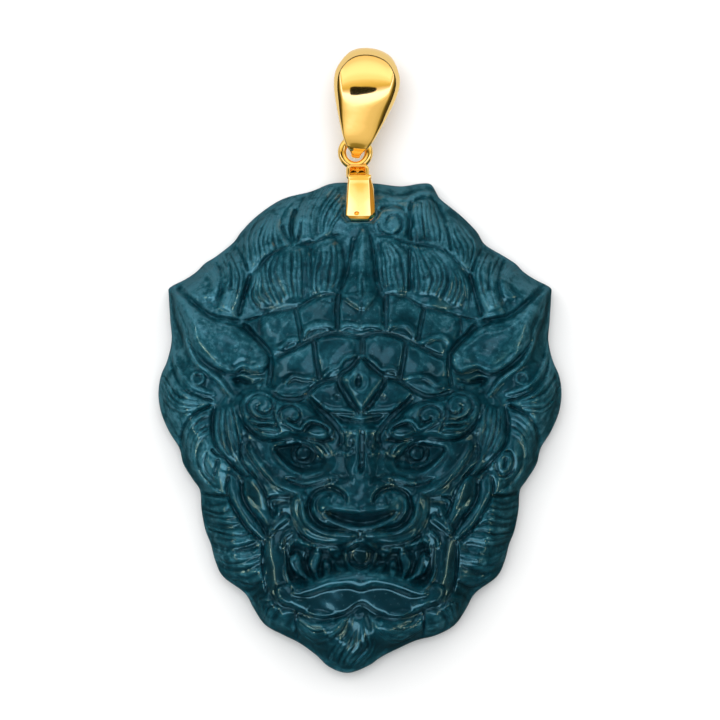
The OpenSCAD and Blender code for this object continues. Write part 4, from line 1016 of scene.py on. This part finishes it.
def make_ring(material):
    """A circle swept round a circle."""
    a, b = np.meshgrid(np.arange(96) / 96 * 2 * math.pi, np.arange(32) / 32 * 2 * math.pi,
                       indexing="ij")
    r = RING_R + RING_WIRE * np.cos(b)
    rows = np.stack([RING_X + r * np.cos(a), RING_Y + r * np.sin(a),
                     MID_Z + RING_WIRE * np.sin(b)], -1)
    return build("clip_ring", *closed_loop(rows), material, "gold")


class Shader:
    """The nodes of a material or a lamp. A value is a number, a colour or a node's socket."""

    def __init__(self, owner):
        owner.use_nodes = True
        self.nodes, self.links = owner.node_tree.nodes, owner.node_tree.links

    def add(self, kind, **settings):
        """A new node with its settings."""
        node = self.nodes.new("ShaderNode" + kind)
        for name, value in settings.items():
            setattr(node, name, value)
        return node

    def feed(self, node, values):
        """Sets or joins a node's inputs, given by name or number."""
        for name, value in values.items():
            if isinstance(value, bpy.types.NodeSocket):
                self.links.new(value, node.inputs[name])
            else:
                node.inputs[name].default_value = value

    def calc(self, kind, *values):
        """One step of arithmetic."""
        node = self.add("Math", operation=kind)
        self.feed(node, dict(enumerate(values)))
        return node.outputs[0]

    def ramp(self, value, stops, kind="LINEAR"):
        """Colour picked by a value from stops of place and colour."""
        node = self.add("ValToRGB")
        colors = node.color_ramp.elements
        node.color_ramp.interpolation = kind
        while len(colors) < len(stops):
            colors.new(0.5)
        for element, (place, color) in zip(colors, stops):
            element.position = place
            element.color = (*color, 1)
        self.feed(node, {"Fac": value})
        return node.outputs["Color"]

    def coords(self):
        """The place on the piece, in metres."""
        return self.add("TexCoord").outputs["Object"]

    def noise(self, scale, detail, rough=0.5, twist=0.0):
        """Cloudy noise about 0.5, of the given number of clouds a metre."""
        node = self.add("TexNoise")
        self.feed(node, {"Vector": self.coords(), "Scale": scale, "Detail": detail,
                         "Roughness": rough, "Distortion": twist})
        return node.outputs["Fac"]

    def field(self, title):
        """A field that the mesh carries."""
        return self.add("Attribute", attribute_name=title).outputs["Fac"]

    def bump(self, value, height):
        """A normal tilted by the slope of value times height."""
        node = self.add("Bump")
        self.feed(node, {"Distance": height, "Height": value})
        return node.outputs["Normal"]


def new_material(name):
    """A material, its nodes, and its Principled node."""
    mat = bpy.data.materials.new(name)
    art = Shader(mat)
    return mat, art, art.nodes["Principled BSDF"]


def jade_material():
    """Dark teal stone. Its colour is picked from a ramp by a sum of amounts times values: painted
    light and shade of the relief, dark in hollows and in the listed shaded places and pale on
    ridges and the rim, painted light that grows paler towards the edge, painted shade along the
    cut lines of hair and straps, the place, as the light falls off downwards, outwards and to
    the right, and two clouds of noise. Pale specks are laid over it, and a clear polish."""
    mat, art, principled = new_material("jade")

    # sharp valleys between strands, and a pair of lines along each strap: painted shade darkens
    # the colour along them, and the bump sinks them
    hair = art.calc("SINE", art.calc("MULTIPLY", art.field("strand"), math.pi))
    hair = art.calc("POWER", art.calc("SUBTRACT", 1.0, art.calc("ABSOLUTE", hair)), 2.0)
    hair = art.calc("MULTIPLY", hair, art.field("mark"))
    pair = art.calc("DIVIDE", art.calc("SUBTRACT", art.field("seam"), 0.2), 0.07)
    pair = art.calc("EXPONENT", art.calc("MULTIPLY", art.calc("MULTIPLY", pair, pair), -1.0))
    lines = art.calc("MAXIMUM", hair, pair)

    place = art.add("SeparateXYZ")
    art.feed(place, {"Vector": art.coords()})
    # painted light and shade: the relief's shading, the paleness towards the edge, darker cut
    # lines, and light falling off with the place; the two noises are the stone's own clouds
    shade = -0.89
    for value, amount in ((art.field("relief_shading"), 0.25), (art.field("edge_light"), 0.29), (lines, -0.12),
                          (place.outputs["Z"], -12.0), (place.outputs["Y"], 2.0),
                          (place.outputs["X"], -2.5), (art.noise(420, 6, 0.65, 0.6), 1.4),
                          (art.noise(1900, 4, 0.65), 1.2)):
        shade = art.calc("MULTIPLY_ADD", value, amount, shade)
    clouds = art.ramp(shade, [(0.1, (0.0004, 0.012, 0.018)), (0.5, (0.002, 0.032, 0.045)),
                              (0.75, (0.009, 0.064, 0.084)), (0.97, (0.04, 0.13, 0.165))])
    specks = art.ramp(art.noise(2600, 2), [(0.62, (0, 0, 0)), (0.76, (0.03, 0.06, 0.07))])
    over = art.add("Mix", data_type="RGBA", blend_type="ADD")
    art.feed(over, {"Factor": 1, 6: clouds, 7: specks})
    wear = art.calc("MULTIPLY", lines, -1.0)
    wear = art.calc("MULTIPLY_ADD", art.noise(1700, 4), 0.2, wear)
    art.feed(principled, {
        "Base Color": over.outputs[2], "Roughness": 0.3, "IOR": 1.6, "Specular IOR Level": 0.4,
        "Specular Tint": (0.4, 0.8, 1, 1), "Coat Weight": 0.9, "Coat Roughness": 0.08,
        "Coat IOR": 1.5, "Subsurface Weight": 0.3, "Subsurface Radius": (0.2, 0.9, 1.0),
        "Subsurface Scale": 0.0004, "Normal": art.bump(wear, 0.00006)})
    return mat


def gold_material(name, color):
    """Polished gold of one colour, with the faintest waviness."""
    mat, art, principled = new_material(name)
    art.feed(principled, {"Base Color": (*color, 1), "Metallic": 1, "Roughness": 0.07,
                          "Normal": art.bump(art.noise(500, 2), 0.00001)})
    return mat


def floor_material():
    """Plain white table."""
    mat, art, principled = new_material("floor")
    art.feed(principled, {"Base Color": (0.86, 0.86, 0.86, 1), "Roughness": 0.9,
                          "Specular IOR Level": 0.1})
    return mat


def light(name, place, size, radiance, only=(), tint=(1, 1, 1), mirror=True, aim=(0, 0, 5)):
    """A rectangular lamp at a place, turned to the aim. Radiance is its own brightness: its
    power is radiance times its area times pi. Without mirror, polished surfaces don't show
    it. It lights the named pieces only, if there are any."""
    lamp = bpy.data.lights.new(name, "AREA")
    lamp.shape = "RECTANGLE"
    lamp.size, lamp.size_y = size[0] * MM, size[1] * MM
    lamp.energy = radiance * math.pi * size[0] * size[1] * MM * MM
    lamp.color = tint
    obj = bpy.data.objects.new(name, lamp)
    obj.location = [v * MM for v in place]
    obj.rotation_mode = "QUATERNION"
    obj.rotation_quaternion = (obj.location - Vector(aim) * MM).to_track_quat("Z", "Y")
    obj.visible_camera = False
    obj.visible_glossy = mirror
    if only:
        lit = bpy.data.collections.new(name)
        for piece in only:
            lit.objects.link(piece)
        obj.light_linking.receiver_collection = lit
    bpy.context.scene.collection.objects.link(obj)
    return lamp


def make_tent(name, pieces, stops, level, droop, slot=None):
    """A lamp over the whole object whose bands the pieces mirror. Its own places run from 0
    to 1 eastwards and southwards. Within level of its middle the bands run straight, and past
    it they move by droop times what is left. The slot is dark where the fourth powers of the
    places across and along it, in half sizes, add up to less than about 1, and it narrows to
    the west."""
    lamp = light(name, (0, 0, TENT_H), (TENT_W, TENT_W), TENT_RADIANCE, only=pieces)
    art = Shader(lamp)
    place = art.add("SeparateXYZ")
    art.feed(place, {"Vector": art.add("NewGeometry").outputs["Parametric"]})
    east, south = place.outputs["X"], place.outputs["Y"]
    far = art.calc("ABSOLUTE", art.calc("SUBTRACT", east, 0.5))
    far = art.calc("MAXIMUM", art.calc("SUBTRACT", far, level / TENT_SPAN), 0.0)
    bands = art.ramp(art.calc("MULTIPLY_ADD", far, droop, south),
                     [(0.5 - tangent / TENT_SPAN, color) for tangent, color in stops[::-1]],
                     "EASE")
    glow = 1.0
    if slot:
        x, y, half_w, half_h = [size / TENT_SPAN for size in slot]
        across = art.calc("DIVIDE", art.calc("SUBTRACT", east, 0.5 + x), half_w)
        along = art.calc("DIVIDE", art.calc("SUBTRACT", south, 0.5 - y), half_h)
        along = art.calc("DIVIDE", along, art.calc("MULTIPLY_ADD", across, 0.35, 0.85))
        away = art.calc("ADD", *[art.calc("POWER", art.calc("ABSOLUTE", side), 4.0)
                                 for side in (across, along)])
        away = art.calc("MULTIPLY", art.calc("SUBTRACT", away, 0.9), 2.5)
        clear = art.add("Clamp")
        art.feed(clear, {"Value": away})
        glow = art.calc("MULTIPLY_ADD", clear.outputs[0], 0.99, 0.01)
    art.feed(art.nodes["Emission"], {"Color": bands, "Strength": glow})


def make_floor():
    """White square that the pendant lies on, which no polished surface shows."""
    half = 900 * MM
    mesh = bpy.data.meshes.new("floor")
    mesh.from_pydata([(-half, -half, 0), (half, -half, 0), (half, half, 0), (-half, half, 0)],
                     [], [(0, 1, 2, 3)])
    mesh.materials.append(floor_material())
    floor = bpy.data.objects.new("floor", mesh)
    bpy.context.scene.collection.objects.link(floor)
    floor.visible_glossy = False
    return floor


def make_studio(stone, clip, rest):
    """White floor, a dim room and a soft overhead lamp. The gold has its tents and a glow from
    below, the clip's strap a tent of its own. The stone has a dim room, a sky card, cards on
    all sides, and two thin bright strips low on the left and the right."""
    world = bpy.data.worlds.new("room")
    world.use_nodes = True
    world.node_tree.nodes["Background"].inputs["Color"].default_value = (0.01, 0.012, 0.01, 1)
    bpy.context.scene.world = world

    floor = make_floor()
    light("overhead", (-60, 260, 520), (1100, 900), 2.2, mirror=False)
    light("floor_light", (0, 0, 900), (3000, 3000), 0.55, mirror=False, only=[floor])
    make_tent("tent", rest, BAIL_TENT, 2.0, 0.6, BAIL_SLOT)
    make_tent("clip_tent", [clip], CLIP_TENT, 0.05, 0.8)
    light("floor_glow", (0, 0, -2), (TENT_W, TENT_W), 0.85, aim=(0, 0, 9),
          only=[clip, *rest])
    for name, place, size, radiance, tint in STONE_LAMPS:
        light(name, place, size, radiance, only=[stone], tint=tint)


def make_camera():
    """Looks straight down and sees VIEW_W across at the table."""
    cam = bpy.data.cameras.new("camera")
    cam.sensor_width = SENSOR_W
    cam.lens = SENSOR_W * EYE_H / VIEW_W
    eye = bpy.data.objects.new("camera", cam)
    eye.location = (0, 0, EYE_H * MM)
    bpy.context.scene.collection.objects.link(eye)
    bpy.context.scene.camera = eye
    bpy.context.scene.view_settings.view_transform = "Standard"


bright_gold = gold_material("gold", (1, .68, .24))
stone = make_stone(jade_material())
# painted light: a paler copy of the same gold for the clip's strap, for the cream sheen of its
# plate
pale_lit_gold = gold_material("pale_lit_gold", (1, .73, .29))
# painted shade: a darker copy of the same gold for the neck and the ring, for the deeper look of
# their polish
shaded_gold = gold_material("shaded_gold", (.9, .58, .16))
strap, neck, ring = make_strap(pale_lit_gold), make_neck(shaded_gold), make_ring(shaded_gold)
make_studio(stone, strap, [neck, ring, make_bail(bright_gold)])
make_camera()
